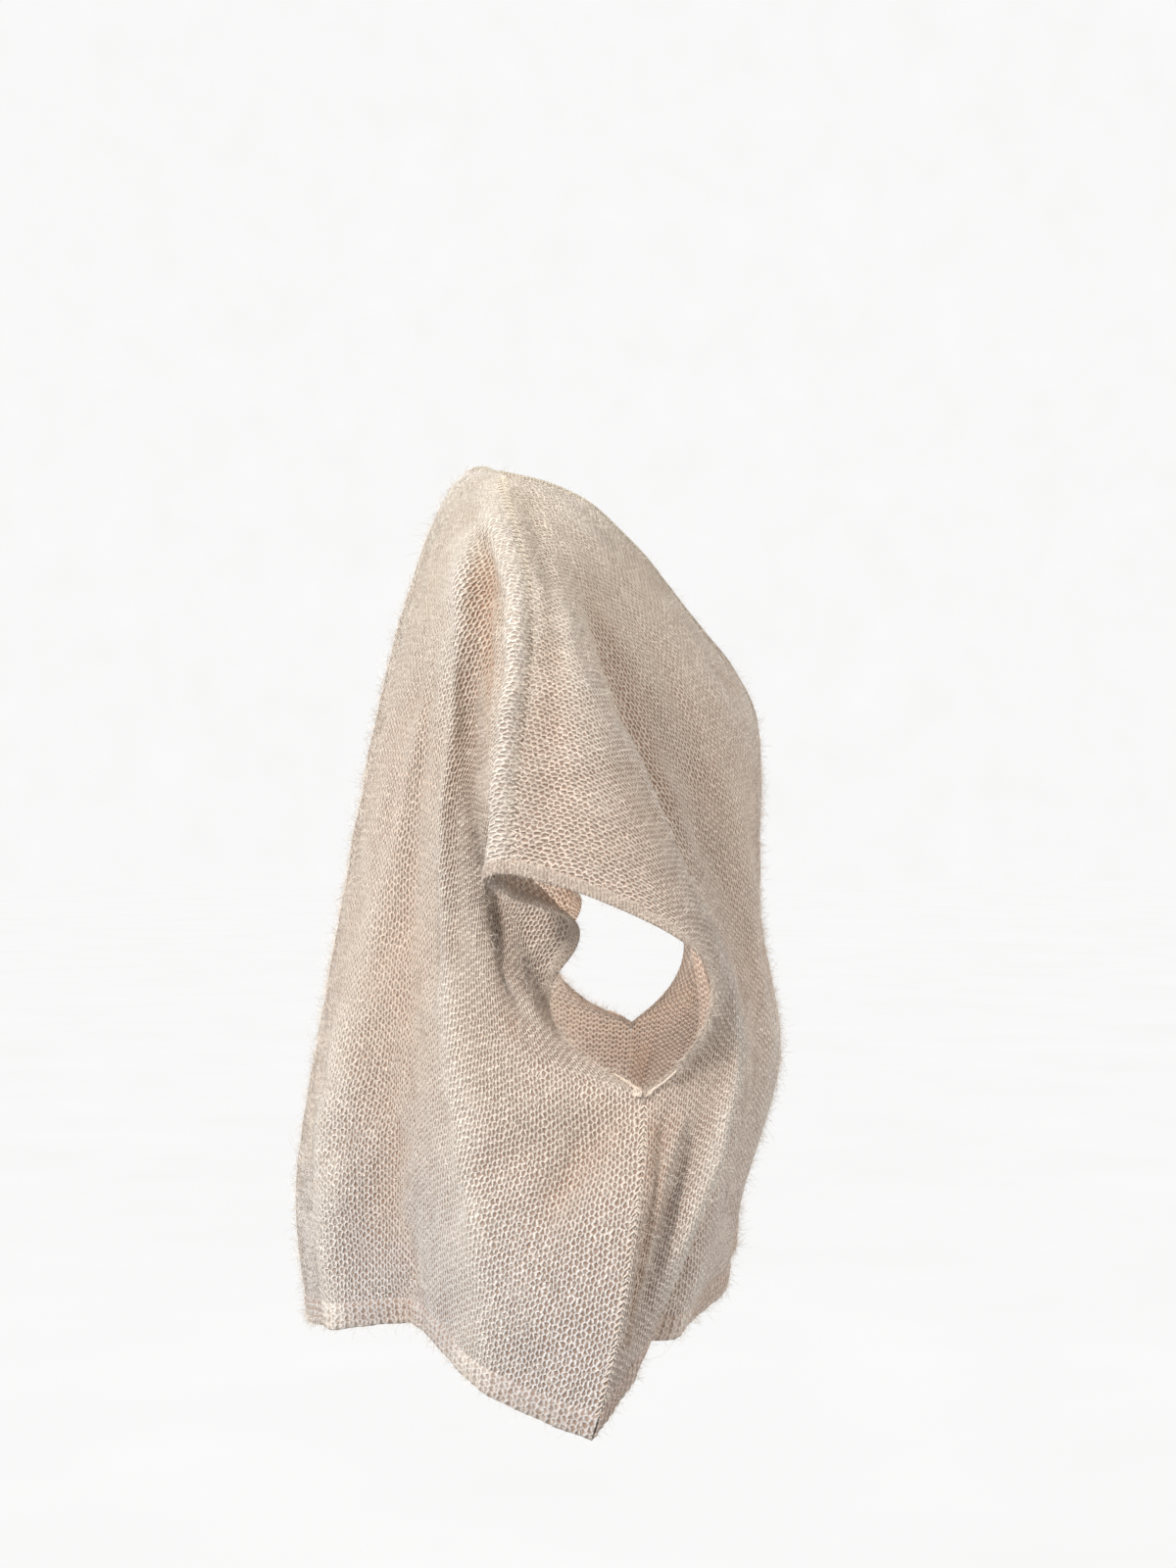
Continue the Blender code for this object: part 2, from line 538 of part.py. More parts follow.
def main():
    clear_scene()
    body = knit('oatmeal_knit', (0.68, 0.58, 0.50), 0.9)
    rib = knit('oatmeal_rib', (0.66, 0.56, 0.48), 0.9)
    edge = knit('pale_edge', (0.74, 0.66, 0.58), 0.85)
    solid('front_panel', *panel_wall(FRONT), body)
    solid('back_panel', *panel_wall(BACK), body)
    solid('front_hem_rib', *rib_wall(FRONT), rib)
    solid('back_hem_rib', *rib_wall(BACK), rib)
    solid('neck_edge', *neck_ring(), edge, ring=True)
    solid('right_armhole_edge', *armhole_ring(-1), edge, ring=True)
    solid('left_armhole_edge', *armhole_ring(1), edge, ring=True)


main()
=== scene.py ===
import bpy
import numpy as np
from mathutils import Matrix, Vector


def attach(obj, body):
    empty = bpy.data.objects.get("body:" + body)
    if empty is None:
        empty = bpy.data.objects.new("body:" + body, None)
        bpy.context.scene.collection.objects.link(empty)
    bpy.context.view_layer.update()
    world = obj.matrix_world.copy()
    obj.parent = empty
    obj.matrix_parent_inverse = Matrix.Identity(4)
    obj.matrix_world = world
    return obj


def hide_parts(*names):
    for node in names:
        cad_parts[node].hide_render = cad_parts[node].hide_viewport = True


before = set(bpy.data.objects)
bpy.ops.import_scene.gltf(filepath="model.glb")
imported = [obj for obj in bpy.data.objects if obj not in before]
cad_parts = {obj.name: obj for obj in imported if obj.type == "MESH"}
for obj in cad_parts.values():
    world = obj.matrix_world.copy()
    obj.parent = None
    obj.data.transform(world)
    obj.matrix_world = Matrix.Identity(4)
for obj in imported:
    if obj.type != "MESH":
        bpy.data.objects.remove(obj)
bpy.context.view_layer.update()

CM = 0.01

# Flat size of each panel in centimetres, across from the centre line and down from the neck point
HALF_WIDTH = 40.0
LENGTH = 62.0
NECK_HALF_WIDTH = 8.0
FRONT_NECK_DEPTH = 23.5
BACK_NECK_DEPTH = 2.0
NECK_ROUNDING = 0.8
SHOULDER_DROP = 14.5
ARMHOLE_DEPTH = 24.5
NECK_EDGE_WIDTH = 1.0
NECK_EDGE_DROP = 2.4
NECK_COLUMN = 9.0
ARMHOLE_EDGE_WIDTH = 0.65
HEM_RIB_HEIGHT = 1.7

# Knitting, in centimetres
WALES = 150
COURSE = 0.5
QUADS_PER_WALE = 4
PANEL_ROWS = 132
WALE_RELIEF = 0.022
RIBS = 120
RIB_SAMPLES = 8
RIB_RELIEF = 0.055

# Edges, strands and fibres, in centimetres
NECK_THICKNESS = 0.38
NECK_CURL = 0.42
NECK_STITCH = 0.45
NECK_STEPS = 420
NECK_REACH = 0.58
RIM_THICKNESS = 0.22
RIM_STITCH = 0.4
RIM_STEPS = 190
RIM_REACH = 0.68
RIM_RIPPLE = 0.1
SEAM_STRAND = 0.055
ARMHOLE_STRAND = 0.05
ARMHOLE_STRANDS = 44
FIBRE_WIDTH = 0.009
FRONT_FIBRES = 36000
BACK_FIBRES = 38000
ARMHOLE_FIBRES = 1700
SHOULDER_FIBRES = 900
HEM_FIBRES = 2200

# Where the wales hang, in centimetres: (side, forward, height) from the shoulder seam to the hem.
# Side is outwards from the middle of the wearer, and both halves of a panel hang alike.
WALES_ACROSS = (0.0, 8.0, 16.0, 24.0, 32.0, HALF_WIDTH)
FRONT_WALES = (
    ((0, .3, 1), (0, 3.2, .3), (0, 6.5, -1.5), (0, 10.6, -5.8), (0, 14.2, -10.6),
     (0, 17.3, -15.1), (0, 18.3, -22), (0, 18.7, -31.5), (0, 19.9, -41), (0, 17.8, -48.5),
     (0, 17, -53.4)),
    ((8.5, 0, 0), (9.4, 4.2, -1.8), (9.6, 8.2, -6), (9.7, 12, -11.3), (9.6, 14.9, -17.2),
     (9.4, 16.7, -24), (9.2, 17.5, -32.5), (9.2, 18.6, -41.2), (9.6, 16, -48.5),
     (10, 15.2, -54.3)),
    ((16, .8, -3.6), (16.6, 3.4, -6), (16.5, 5.9, -9.2), (15.9, 8.7, -14.4), (15.5, 10.9, -19.6),
     (15.3, 13, -24.7), (15.2, 14.9, -29.9), (15.5, 16.3, -35), (16.2, 16.7, -40.8),
     (17.2, 15.6, -45.8), (18.8, 14, -52.6), (19.2, 13.1, -55.5)),
    ((22, 2.2, -10), (22.6, 4.3, -12.1), (22.5, 6.5, -15.3), (21.6, 8.8, -19.3),
     (20.9, 10.9, -23.7), (20.5, 13, -28.1), (20.2, 14.7, -32.5), (20.3, 15.6, -36.6),
     (21.3, 15.7, -40.9), (22.7, 15, -45.1), (24.3, 13.6, -50.5), (25.5, 11.7, -55.2),
     (25.6, 10.9, -56.8)),
    ((25.1, 1.7, -18.3), (25.6, 4.1, -20), (25.6, 6.5, -21.8), (24.9, 9, -24.3),
     (24.1, 11.3, -27.1), (23.6, 13.1, -29.9), (23.1, 14.5, -33), (23, 14.8, -36.4),
     (23.7, 14.3, -39.8), (24.9, 13.6, -42.4), (26.5, 12.7, -45.9), (27.9, 11.4, -50.5),
     (28.7, 9.8, -55), (28.8, 8.8, -58.3)),
)
BACK_WALES = (
    ((0, .3, 1), (0, -1.2, 1.3), (0, -2.8, .7), (0, -5.2, -2.9), (0, -6.6, -7.1),
     (0, -8.4, -13.3), (0, -10.2, -21.5), (0, -12.5, -32.5), (0, -14.2, -42), (0, -15.3, -50),
     (0, -15, -55.5), (0, -14.2, -59.3)),
    ((8.5, 0, 0), (9, -1.2, -.6), (9.4, -2.8, -2.4), (9.8, -4.4, -5.5), (10.2, -6, -10.5),
     (10.5, -7.9, -18), (10.7, -9.8, -27), (10.9, -11.4, -36), (11, -12.7, -44.5),
     (11, -12.9, -51.5), (11, -12.3, -58.2)),
    ((16, .8, -3.6), (16.2, -.2, -3.7), (16.2, -1.4, -4.8), (16.3, -2.6, -7),
     (16.4, -3.4, -10.5), (16.3, -4.4, -15), (15.9, -5.6, -20), (15.6, -7.2, -27),
     (15.5, -8.9, -34), (15.7, -10.2, -41), (15.8, -10.4, -48), (15.5, -9.8, -53.4),
     (15.3, -9.2, -57.5)),
    ((22, 2.2, -10), (22.5, 1.2, -9.9), (21.9, .3, -10.8), (20, -.6, -12.8), (18.4, -1.4, -15.8),
     (18, -2, -19.5), (18.8, -2.9, -24.5), (20, -3.4, -29.3), (21.4, -4.2, -35),
     (22.3, -5, -41), (22.7, -5.2, -47), (22.6, -4.8, -52), (22.3, -4.6, -56.9)),
    ((25.1, 1.7, -18.3), (25.5, .7, -18.3), (24.8, -.2, -19.3), (22.6, -.7, -21.3),
     (20.8, -.6, -24.2), (20.8, -.2, -27.5), (22.2, .1, -30.3), (23.8, .5, -33.2),
     (25, .8, -37), (25.9, .9, -41.5), (27, .5, -47), (27.8, .3, -53), (28.2, .3, -59.3)),
)
FRONT_ARMHOLE = ((27, 1.1, -27), (27.5, 4.7, -27.9), (27.5, 7.5, -29), (27.2, 10.8, -30.6),
                 (26.3, 13.1, -32.5), (25.3, 13.8, -35), (25.2, 12.4, -38.2), (26, 9.4, -40.9))
BACK_ARMHOLE = ((27, 1.1, -27), (26.75, .1, -27.15), (26.3, -.35, -27.6), (25.8, .2, -28.2),
                (25.3, 1.7, -28.8), (24.9, 3.4, -29.4), (24, 4.8, -30), (23, 5.3, -30.9),
                (22.3, 4.9, -32.2), (21.7, 3.9, -33.6), (21.5, 3.4, -35.5), (21.9, 3.9, -37.4),
                (23, 5.2, -38.8), (24.5, 7.3, -39.9), (26, 9.4, -40.9))
SIDE_SEAM = ((26, 9.4, -40.9), (28, 9.3, -44.7), (29.5, 8.8, -48.5), (30.8, 7.7, -55.3),
             (31, 7, -58.4), (31, 6.1, -61.4))

# Folds: which side (-1 the wearer's right, 1 the left, 0 both), their line as (across, down)
# points, half width and height in centimetres (a trough's height is below nought), and the parts
# of the line over which they fade in and out.
FRONT_FOLDS = (
    (-1, ((14.5, 8), (17.5, 16), (20, 23), (22.5, 30), (24, 38), (25, 48), (26, 66)), 2.4, -1.5,
     .3, .05),
    (-1, ((36, 42), (34.8, 47), (34, 54), (33.6, 63)), 2.2, -1.1, .4, .5),
    (-1, ((30, 31), (30, 40), (30, 50), (30, 64)), 2.4, 1.1, .4, .5),
    (-1, ((8.5, 16), (10, 26), (11, 38), (12, 50), (13, 66)), 3.2, .9, .5, .05),
    (1, ((14, 7), (16, 15), (18.5, 23), (21, 31), (22, 40), (22, 50), (21, 66)), 2.5, -1.4,
     .3, .05),
    (1, ((35.5, 43), (34.3, 49), (33.5, 55), (33, 63)), 2.2, -1.1, .4, .5),
    (1, ((29, 32), (28.5, 42), (28, 52), (27.5, 64)), 2.5, 1.1, .4, .5),
    (1, ((9, 18), (9.5, 28), (9, 40), (10, 51), (11, 66)), 3, 1, .5, .05),
    (0, ((0, 28), (.1, 44), (0, 66)), 3.2, -1.1, .5, .05),
)
BACK_FOLDS = (
    (-1, ((14, 4), (16.5, 10.5), (20.5, 20.7), (24.5, 30.2), (27.5, 39.4), (30, 49.3), (31, 66)),
     2.8, .7, .3, .05),
    (-1, ((25, 15), (30, 18.5), (32.5, 23), (32.5, 27), (32.5, 32), (34, 37)), 1.8, -.5, .3, .4),
    (-1, ((38, 41), (36, 46), (33.5, 51)), 1.7, -.6, .35, .6),
    (-1, ((20, 34), (20.5, 44), (21, 52), (20.5, 66)), 2.8, -1.4, .5, .05),
    (-1, ((13, 38), (13, 48), (13, 66)), 2.8, .9, .5, .05),
    (1, ((14, 5), (17, 11), (21, 21), (24, 30), (26, 40), (28, 50), (29, 66)), 2.8, .8, .3, .05),
    (1, ((25, 15), (30, 19), (32.5, 23), (32, 27), (32, 32), (33.5, 37)), 1.9, -.5, .3, .4),
    (1, ((38, 42), (36.5, 47), (34.5, 53)), 1.7, -.5, .35, .6),
    (1, ((19, 30), (19, 42), (18.5, 52), (18, 66)), 3, -1.3, .5, .05),
    (1, ((10, 36), (10.5, 48), (10, 66)), 2.8, .8, .5, .05),
    (0, ((1, 14), (1.5, 30), (1, 46), (1.5, 66)), 3, -.5, .5, .05),
)
FOLD_FREE = 2.5

# Finer creases, in the same terms
FRONT_CREASES = (
    (-1, ((30, 44), (30, 54), (30, 66)), 2.4, -.6, .5, .05),
    (-1, ((16.8, 11), (19, 17.3), (20.9, 22.7), (22.9, 27.7), (24, 34)), 1.1, -.5, .2, .5),
    (-1, ((14, 11), (16, 18), (17.8, 25), (19.5, 33)), 1.4, .35, .3, .5),
    (-1, ((38.8, 40.2), (38.4, 45.1), (37.8, 51), (37.6, 60)), 1.0, -.6, .12, .35),
    (1, ((15.5, 11), (18, 18), (20, 25), (21.5, 33)), 1.1, -.45, .2, .5),
    (-1, ((36.6, 41), (36.3, 46), (36, 52)), .9, .25, .3, .5),
    (-1, ((18, 11), (22, 17), (27, 22), (33, 26)), 1.2, -.22, .3, .5),
    (-1, ((21, 16), (26, 23), (32, 31)), 1.4, .2, .4, .5),
    (-1, ((12, 12), (14, 20), (15.5, 28)), 1.5, .25, .4, .5),
    (-1, ((5, 30), (7, 38), (8, 48)), 1.6, -.25, .4, .4),
    (-1, ((26, 44), (28, 50), (31, 56)), 1.3, -.25, .4, .5),
    (1, ((38.2, 41), (37.8, 47), (37.4, 54), (37.2, 60)), .9, -.35, .15, .4),
    (1, ((17, 10), (21, 17), (26, 23), (32, 27)), 1.3, -.22, .3, .5),
    (1, ((20, 17), (25, 25), (31, 33)), 1.4, .2, .4, .5),
    (1, ((12, 14), (13.5, 22), (14.5, 30)), 1.5, .25, .4, .5),
    (1, ((4, 32), (5.5, 40), (6, 50)), 1.6, -.25, .4, .4),
    (1, ((25, 46), (27, 52), (30, 58)), 1.3, -.25, .4, .5),
)
BACK_CREASES = (
    (-1, ((13.2, 4), (18, 11), (22, 21.4), (25, 30.9), (27, 40.5), (30.1, 50), (31.6, 60)),
     1.05, .42, .1, .25),
    (-1, ((17, 6.5), (19.9, 10.1), (22.5, 12.8), (26.8, 14.8), (31, 16.6), (36, 18.5)), 1.3, -.6,
     .25, .3),
    (-1, ((16, 5), (19.8, 10.2), (23.6, 15.9), (28.9, 20), (33, 22.5)), 2.0, -.35, .3, .3),
    (-1, ((14, 8), (16.1, 18.5), (18.8, 28.5), (20.8, 37.4), (23.9, 47.2), (25.5, 58)), 1.6, -.4,
     .25, .3),
    (-1, ((34, 25), (33, 29.6), (32.9, 34.6), (33.8, 37.8), (35.8, 38.9)), 1.3, -.6, .25, .4),
    (-1, ((39.6, 39.9), (36.6, 43.7), (35, 47.9), (34, 54)), 1.1, -.5, .15, .5),
    (-1, ((18.7, 30), (18.5, 37.8), (18.9, 50), (18, 60)), 2.0, -.5, .4, .2),
    (1, ((13, 5), (17.2, 12), (21, 21.5), (24, 30.5), (26, 40), (28.5, 50), (29.5, 60)),
     1.05, .4, .1, .25),
    (1, ((17, 7), (20.2, 10.8), (23.4, 13.6), (27.5, 15.4), (32, 17.5), (36, 19.5)), 1.3, -.55,
     .25, .3),
    (1, ((16, 6), (20, 11), (24.5, 16.5), (29.5, 20.5), (33.5, 23.5)), 2.0, -.35, .3, .3),
    (1, ((13, 9), (15.5, 19), (17.6, 29), (19.5, 38), (21.5, 48), (22.5, 58)), 1.6, -.4, .25, .3),
    (1, ((34, 26), (33, 30), (32.5, 35), (33.5, 38), (35.5, 39.2)), 1.3, -.5, .25, .4),
    (-1, ((38.6, 39.6), (35.5, 42.5), (31, 47), (27.5, 53)), 1.1, -.3, .2, .5),
    (-1, ((36, 39), (33, 41.5), (29, 45)), 1.2, .22, .3, .5),
    (-1, ((9, 6), (12, 14), (13, 24), (13.5, 34)), 1.7, -.3, .4, .4),
    (-1, ((24, 20), (27, 28), (29, 36)), 1.2, .22, .4, .4),
    (-1, ((33, 45), (34, 52), (34.5, 60)), 1.3, .3, .4, .4),
    (-1, ((6, 38), (6.5, 48), (6, 58)), 1.7, -.25, .4, .3),
    (1, ((38.6, 40), (35.5, 43), (31.5, 48), (28.5, 54)), 1.1, -.3, .2, .5),
    (1, ((36, 40), (33, 42.5), (29.5, 46.5)), 1.2, .2, .3, .5),
    (1, ((9, 7), (11.5, 15), (12.5, 25), (12.5, 35)), 1.7, -.3, .4, .4),
    (1, ((24, 21), (26.5, 29), (28, 37)), 1.2, .22, .4, .4),
    (1, ((33, 47), (33.5, 54), (34, 61)), 1.3, .3, .4, .4),
    (1, ((5, 40), (5.5, 50), (5, 60)), 1.7, -.25, .4, .3),
)
# Lines of troughs where light that has passed through the cloth glows, in the same terms
FRONT_GLOW = (
    (-1, ((15, 8), (19, 17.3), (20.9, 22.7), (22.9, 27.7), (24, 34)), 1.6, .4, .3, .4),
    (-1, ((38.8, 40.2), (38.4, 45.1), (37.8, 51), (37.6, 60)), 1.3, .8, .1, .3),
    (1, ((15.5, 8), (18, 18), (20, 25), (21.5, 33)), 1.6, .4, .3, .4),
    (1, ((38.6, 41), (38.2, 46), (37.7, 52), (37.4, 60)), 1.3, .7, .1, .3),
)
BACK_GLOW = (
    (-1, ((16.5, 5.6), (20, 9.5), (23, 12.7), (27, 15), (31, 17), (36, 19)), 2.0, .9, .25, .3),
    (-1, ((18.7, 28), (18.8, 37.8), (19.2, 50), (18.5, 60)), 2.6, .2, .3, .2),
    (-1, ((34, 24), (33, 29.6), (32.9, 34.6), (33.8, 37.8), (36, 39)), 2.2, .3, .3, .4),
    (1, ((16.5, 7), (20.5, 11), (23.6, 14.2), (28, 16.8), (32, 19), (36, 21)), 2.1, .5, .25, .3),
    (1, ((17.7, 28), (18, 38), (18.4, 50), (17.5, 60)), 2.6, .12, .3, .2),
    (1, ((34, 25), (33, 30), (32.5, 35), (33.5, 38), (36, 39.2)), 2.2, .2, .3, .4),
)
PROBE = 0.15
EVEN_LEVELS = 41
EVEN_PLACES = 241
TABLE_COLUMNS = 201
TABLE_ROWS = 151
BLUR_ROUNDS = 130


def spline(knots, values, places):
    """Natural cubic spline through values[k] at knots[k], read at place i from values[:, i]."""
    knots = np.asarray(knots, float)
    step = np.diff(knots)
    count = len(knots)
    left = np.eye(count)
    right = np.zeros((count, count))
    for k in range(1, count - 1):
        left[k, k - 1:k + 2] = step[k - 1], 2 * (step[k - 1] + step[k]), step[k]
        right[k, k - 1:k + 2] = 6 / step[k - 1], -6 / step[k - 1] - 6 / step[k], 6 / step[k]
    values = np.broadcast_to(values, (count, len(places), values.shape[2]))
    bend = np.einsum('jk,kic->jic', np.linalg.solve(left, right), values)
    k = np.clip(np.searchsorted(knots, places) - 1, 0, count - 2)
    i = np.arange(len(places))
    near = ((knots[k + 1] - places) / step[k])[:, None]
    far = 1 - near
    size = (step[k] ** 2 / 6)[:, None]
    return (near * values[k, i] + far * values[k + 1, i]
            + size * ((near ** 3 - near) * bend[k, i] + (far ** 3 - far) * bend[k + 1, i]))


def along_curve(points, fraction):
    """Points at the given fractions of the length of a smooth curve through the points."""
    points = np.asarray(points, float)
    reach = np.concatenate(([0], np.cumsum(np.linalg.norm(np.diff(points, axis=0), axis=1))))
    return spline(reach / reach[-1], points[:, None, :], fraction)


def unit(vectors):
    return vectors / np.maximum(np.linalg.norm(vectors, axis=-1, keepdims=True), 1e-9)


def ease(value):
    value = np.clip(value, 0, 1)
    return value * value * (3 - 2 * value)


def shoulder_line(across):
    """How far down the shoulder seam runs at each place across."""
    slope = SHOULDER_DROP / (HALF_WIDTH - NECK_HALF_WIDTH)
    return slope * np.maximum(np.abs(across) - NECK_HALF_WIDTH, 0)


def underarm():
    return SHOULDER_DROP + ARMHOLE_DEPTH


def flat_reach(across, fraction):
    """Length on the flat panel from the centre line out to a place, along a row of the grid."""
    slope = SHOULDER_DROP / (HALF_WIDTH - NECK_HALF_WIDTH) * (1 - fraction)
    beyond = np.maximum(np.abs(across) - NECK_HALF_WIDTH, 0)
    return np.sign(across) * (np.abs(across) + beyond * (np.hypot(1, slope) - 1))


def fold_profile(across, down, line, half_width, fade_in, fade_out):
    """One fold's height from 0 to 1: a soft bell across its line that fades at both ends."""
    line = np.array(line, float)
    path = along_curve(line[:, [0, 1, 1]], np.linspace(0, 1, 25))[:, :2]
    here = np.stack((across, down), axis=1)
    nearest = np.full(len(here), np.inf)
    travelled = np.zeros(len(here))
    for k, (start, end) in enumerate(zip(path[:-1], path[1:])):
        run = end - start
        part = np.clip((here - start) @ run / (run @ run), 0, 1)
        gap = np.linalg.norm(here - start - part[:, None] * run, axis=1)
        closer = gap < nearest
        nearest = np.where(closer, gap, nearest)
        travelled = np.where(closer, (k + part) / (len(path) - 1), travelled)
    fade = ease(travelled / fade_in) * ease((1 - travelled) / fade_out)
    return fade * np.exp(-(nearest / half_width) ** 2)


def read_table(table, column, row):
    """Smooth reading of a table of vectors at places between its columns and rows."""
    low, high = 2 * table[:1] - table[1:2], 2 * table[-1:] - table[-2:-1]
    table = np.concatenate((low, table, high))
    low, high = 2 * table[:, :1] - table[:, 1:2], 2 * table[:, -1:] - table[:, -2:-1]
    table = np.concatenate((low, table, high), axis=1)
    first = np.clip(column.astype(int), 0, table.shape[1] - 4)
    second = np.clip(row.astype(int), 0, table.shape[0] - 4)
    sideways = shares(column - first)
    downwards = shares(row - second)
    total = 0
    for j in range(4):
        line = sum(sideways[i][..., None] * table[second + j, first + i] for i in range(4))
        total = total + downwards[j][..., None] * line
    return total


def shares(t):
    """Shares of four neighbours in a smooth curve between the middle two."""
    return ((-t + 2 * t ** 2 - t ** 3) / 2, (2 - 5 * t ** 2 + 3 * t ** 3) / 2,
            (t + 4 * t ** 2 - 3 * t ** 3) / 2, (t ** 3 - t ** 2) / 2)


def blurred(table):
    """The table's points averaged with their neighbours some centimetres around."""
    for _ in range(BLUR_ROUNDS):
        table = np.pad(table, ((1, 1), (1, 1), (0, 0)), "edge")
        table = (table[:-2] + 2 * table[1:-1] + table[2:]) / 4
        table = (table[:, :-2] + 2 * table[:, 1:-1] + table[:, 2:]) / 4
    return table


class Cloth:
    """The hanging surface of one panel, with its folds, over flat places across and down."""

    def __init__(self, wales, armhole, folds, creases, glow, neck_depth, facing, seed):
        self.wales = wales
        self.armhole = armhole
        self.folds = folds + creases
        self.glow = glow
        self.neck_depth = neck_depth
        self.facing = facing
        self.even = self.even_table()
        self.seed = seed
        self.fill_tables()

    def neck_line(self, across):
        """The neck opening's edge: a V, or a shallow curve, rounded at its lowest point."""
        reach = np.hypot(across, NECK_ROUNDING) - NECK_ROUNDING
        full = np.hypot(NECK_HALF_WIDTH, NECK_ROUNDING) - NECK_ROUNDING
        return self.neck_depth * (1 - reach / full)

    def neck_cut(self, across):
        """The line between the neck edge and the panel."""
        part = np.abs(across) / NECK_COLUMN
        free = self.neck_line(across * NECK_HALF_WIDTH / NECK_COLUMN)
        width = NECK_EDGE_DROP if self.facing < 0 else NECK_EDGE_WIDTH
        return free + width * (1 - part) + shoulder_line(NECK_COLUMN) * part

    def top_line(self, across):
        return np.where(np.abs(across) <= NECK_COLUMN, self.neck_cut(across),
                        shoulder_line(across))

    def edge_wale(self, fraction):
        """The outermost wale: the armhole edge, then the side seam."""
        base = ARMHOLE_DEPTH / (LENGTH - SHOULDER_DROP)
        edge = along_curve(self.armhole, np.minimum(fraction / base, 1))
        side = along_curve(SIDE_SEAM, np.maximum((fraction - base) / (1 - base), 0))
        return np.where((fraction < base)[:, None], edge, side)

    def smooth(self, guide, fraction):
        """Points of the surface without its folds, between the wales of the table."""
        half = [along_curve(points, fraction) for points in self.wales]
        half.append(self.edge_wale(fraction))
        mirrored = [points * (-1, 1, 1) for points in half[:0:-1]]
        knots = [-place for place in WALES_ACROSS[:0:-1]] + list(WALES_ACROSS)
        side, forward, height = spline(knots, np.array(mirrored + half), guide).T
        return np.stack((side, -forward, height), axis=1)

    def lift(self, guide, fraction):
        top = shoulder_line(guide)
        down = top + fraction * (LENGTH - top)
        lift = np.zeros(len(guide))
        for side, line, half_width, height, fade_in, fade_out in self.folds:
            here = np.abs(guide) if side == 0 else guide * side
            lift += height * fold_profile(here, down, line, half_width, fade_in, fade_out)
        free = ease((HALF_WIDTH - np.abs(guide)) / FOLD_FREE) * ease((down - top) / FOLD_FREE)
        return lift * free

    def folded(self, guide, fraction):
        """Points of the surface with its folds raised or sunk along its normal."""
        right = (self.smooth(guide + PROBE, fraction) - self.smooth(guide - PROBE, fraction))
        step = PROBE / LENGTH
        lower = (self.smooth(guide, fraction + step) - self.smooth(guide, fraction - step))
        normal = self.facing * unit(np.cross(right, lower))
        return self.smooth(guide, fraction) + self.lift(guide, fraction)[:, None] * normal

    def even_table(self):
        """Guide places at even shares of each row's length, so that stitches are spread evenly."""
        guides = np.linspace(-HALF_WIDTH, HALF_WIDTH, EVEN_PLACES)
        table = []
        for fraction in np.linspace(0, 1, EVEN_LEVELS):
            points = self.folded(guides, np.full(EVEN_PLACES, fraction))
            reach = np.cumsum(np.linalg.norm(np.diff(points, axis=0, prepend=points[:1]), axis=1))
            reach -= reach[EVEN_PLACES // 2]
            reach /= np.where(reach < 0, -reach[0], reach[-1])
            table.append(np.interp(np.linspace(-1, 1, EVEN_PLACES), reach, guides))
        return np.array(table)

    def guide_at(self, across, fraction):
        share = flat_reach(across, fraction) / flat_reach(HALF_WIDTH, fraction)
        place = np.clip((share + 1) / 2, 0, 1) * (EVEN_PLACES - 1)
        level = np.clip(fraction, 0, 1) * (EVEN_LEVELS - 1)
        return read_table(self.even[:, :, None], place, level)[:, 0]

    def fill_tables(self):
        """Points and normals over a table of places, with the rolls along the seams and puckers."""
        across = np.linspace(-HALF_WIDTH, HALF_WIDTH, TABLE_COLUMNS)
        across, fraction = np.meshgrid(across, np.linspace(0, 1, TABLE_ROWS))
        shape = across.shape
        guide = self.guide_at(across.ravel(), fraction.ravel())
        points = self.folded(guide, fraction.ravel()).reshape(shape + (3,))
        top = shoulder_line(across)
        down = top + fraction * (LENGTH - top)
        extra = self.seam_roll(across, down) + self.puckers(across, down)
        points = points + extra[..., None] * self.normals_of(points)
        self.points = points
        self.normals = self.normals_of(points)
        self.depth = np.sum((blurred(points) - points) * self.normals, axis=-1, keepdims=True)

    def normals_of(self, points):
        right = np.gradient(points, axis=1)
        lower = np.gradient(points, axis=0)
        return self.facing * unit(np.cross(right, lower))

    def seam_roll(self, across, down):
        """A soft roll beside the shoulder seam on the back, and a narrow trough on the front."""
        below = (down - shoulder_line(across)) * .91
        start = ease((np.abs(across) - 11) / 6)
        if self.facing > 0:
            return start * (.44 * np.exp(-((below - 1.1) / .9) ** 2) * ease(below / 1.0)
                            - .36 * np.exp(-((below - 2.9) / .8) ** 2))
        return start * (-.26 * np.exp(-((below - 2.3) / .9) ** 2)
                        + .08 * np.exp(-((below - .6) / .5) ** 2)) * ease(below / .8)

    def puckers(self, across, down):
        """Slight unevenness of hand-finished, brushed cloth."""
        chance = np.random.default_rng(self.seed)
        total = np.zeros(across.shape)
        for _ in range(26):
            turn = chance.uniform(-.6, .6)
            size = chance.uniform(2.2, 7.5)
            phase = chance.uniform(0, 2 * np.pi, 2)
            wave = (across * np.cos(turn) + down * np.sin(turn)) * 2 * np.pi / size
            slow = down * 2 * np.pi / chance.uniform(9, 22)
            total += size * np.sin(wave + phase[0]) * np.sin(slow + phase[1]) * .0042
        free = ease((HALF_WIDTH - np.abs(across)) / 1.5)
        return total * free * ease((down - shoulder_line(across)) / 1.5)

    def spot(self, across, down):
        top = shoulder_line(across)
        fraction = np.clip((down - top) / (LENGTH - top), 0, 1)
        column = (np.clip(across / HALF_WIDTH, -1, 1) + 1) / 2 * (TABLE_COLUMNS - 1)
        return column, fraction * (TABLE_ROWS - 1)

    def place(self, across, down):
        return read_table(self.points, *self.spot(across, down))

    def outward(self, across, down):
        return unit(read_table(self.normals, *self.spot(across, down)))

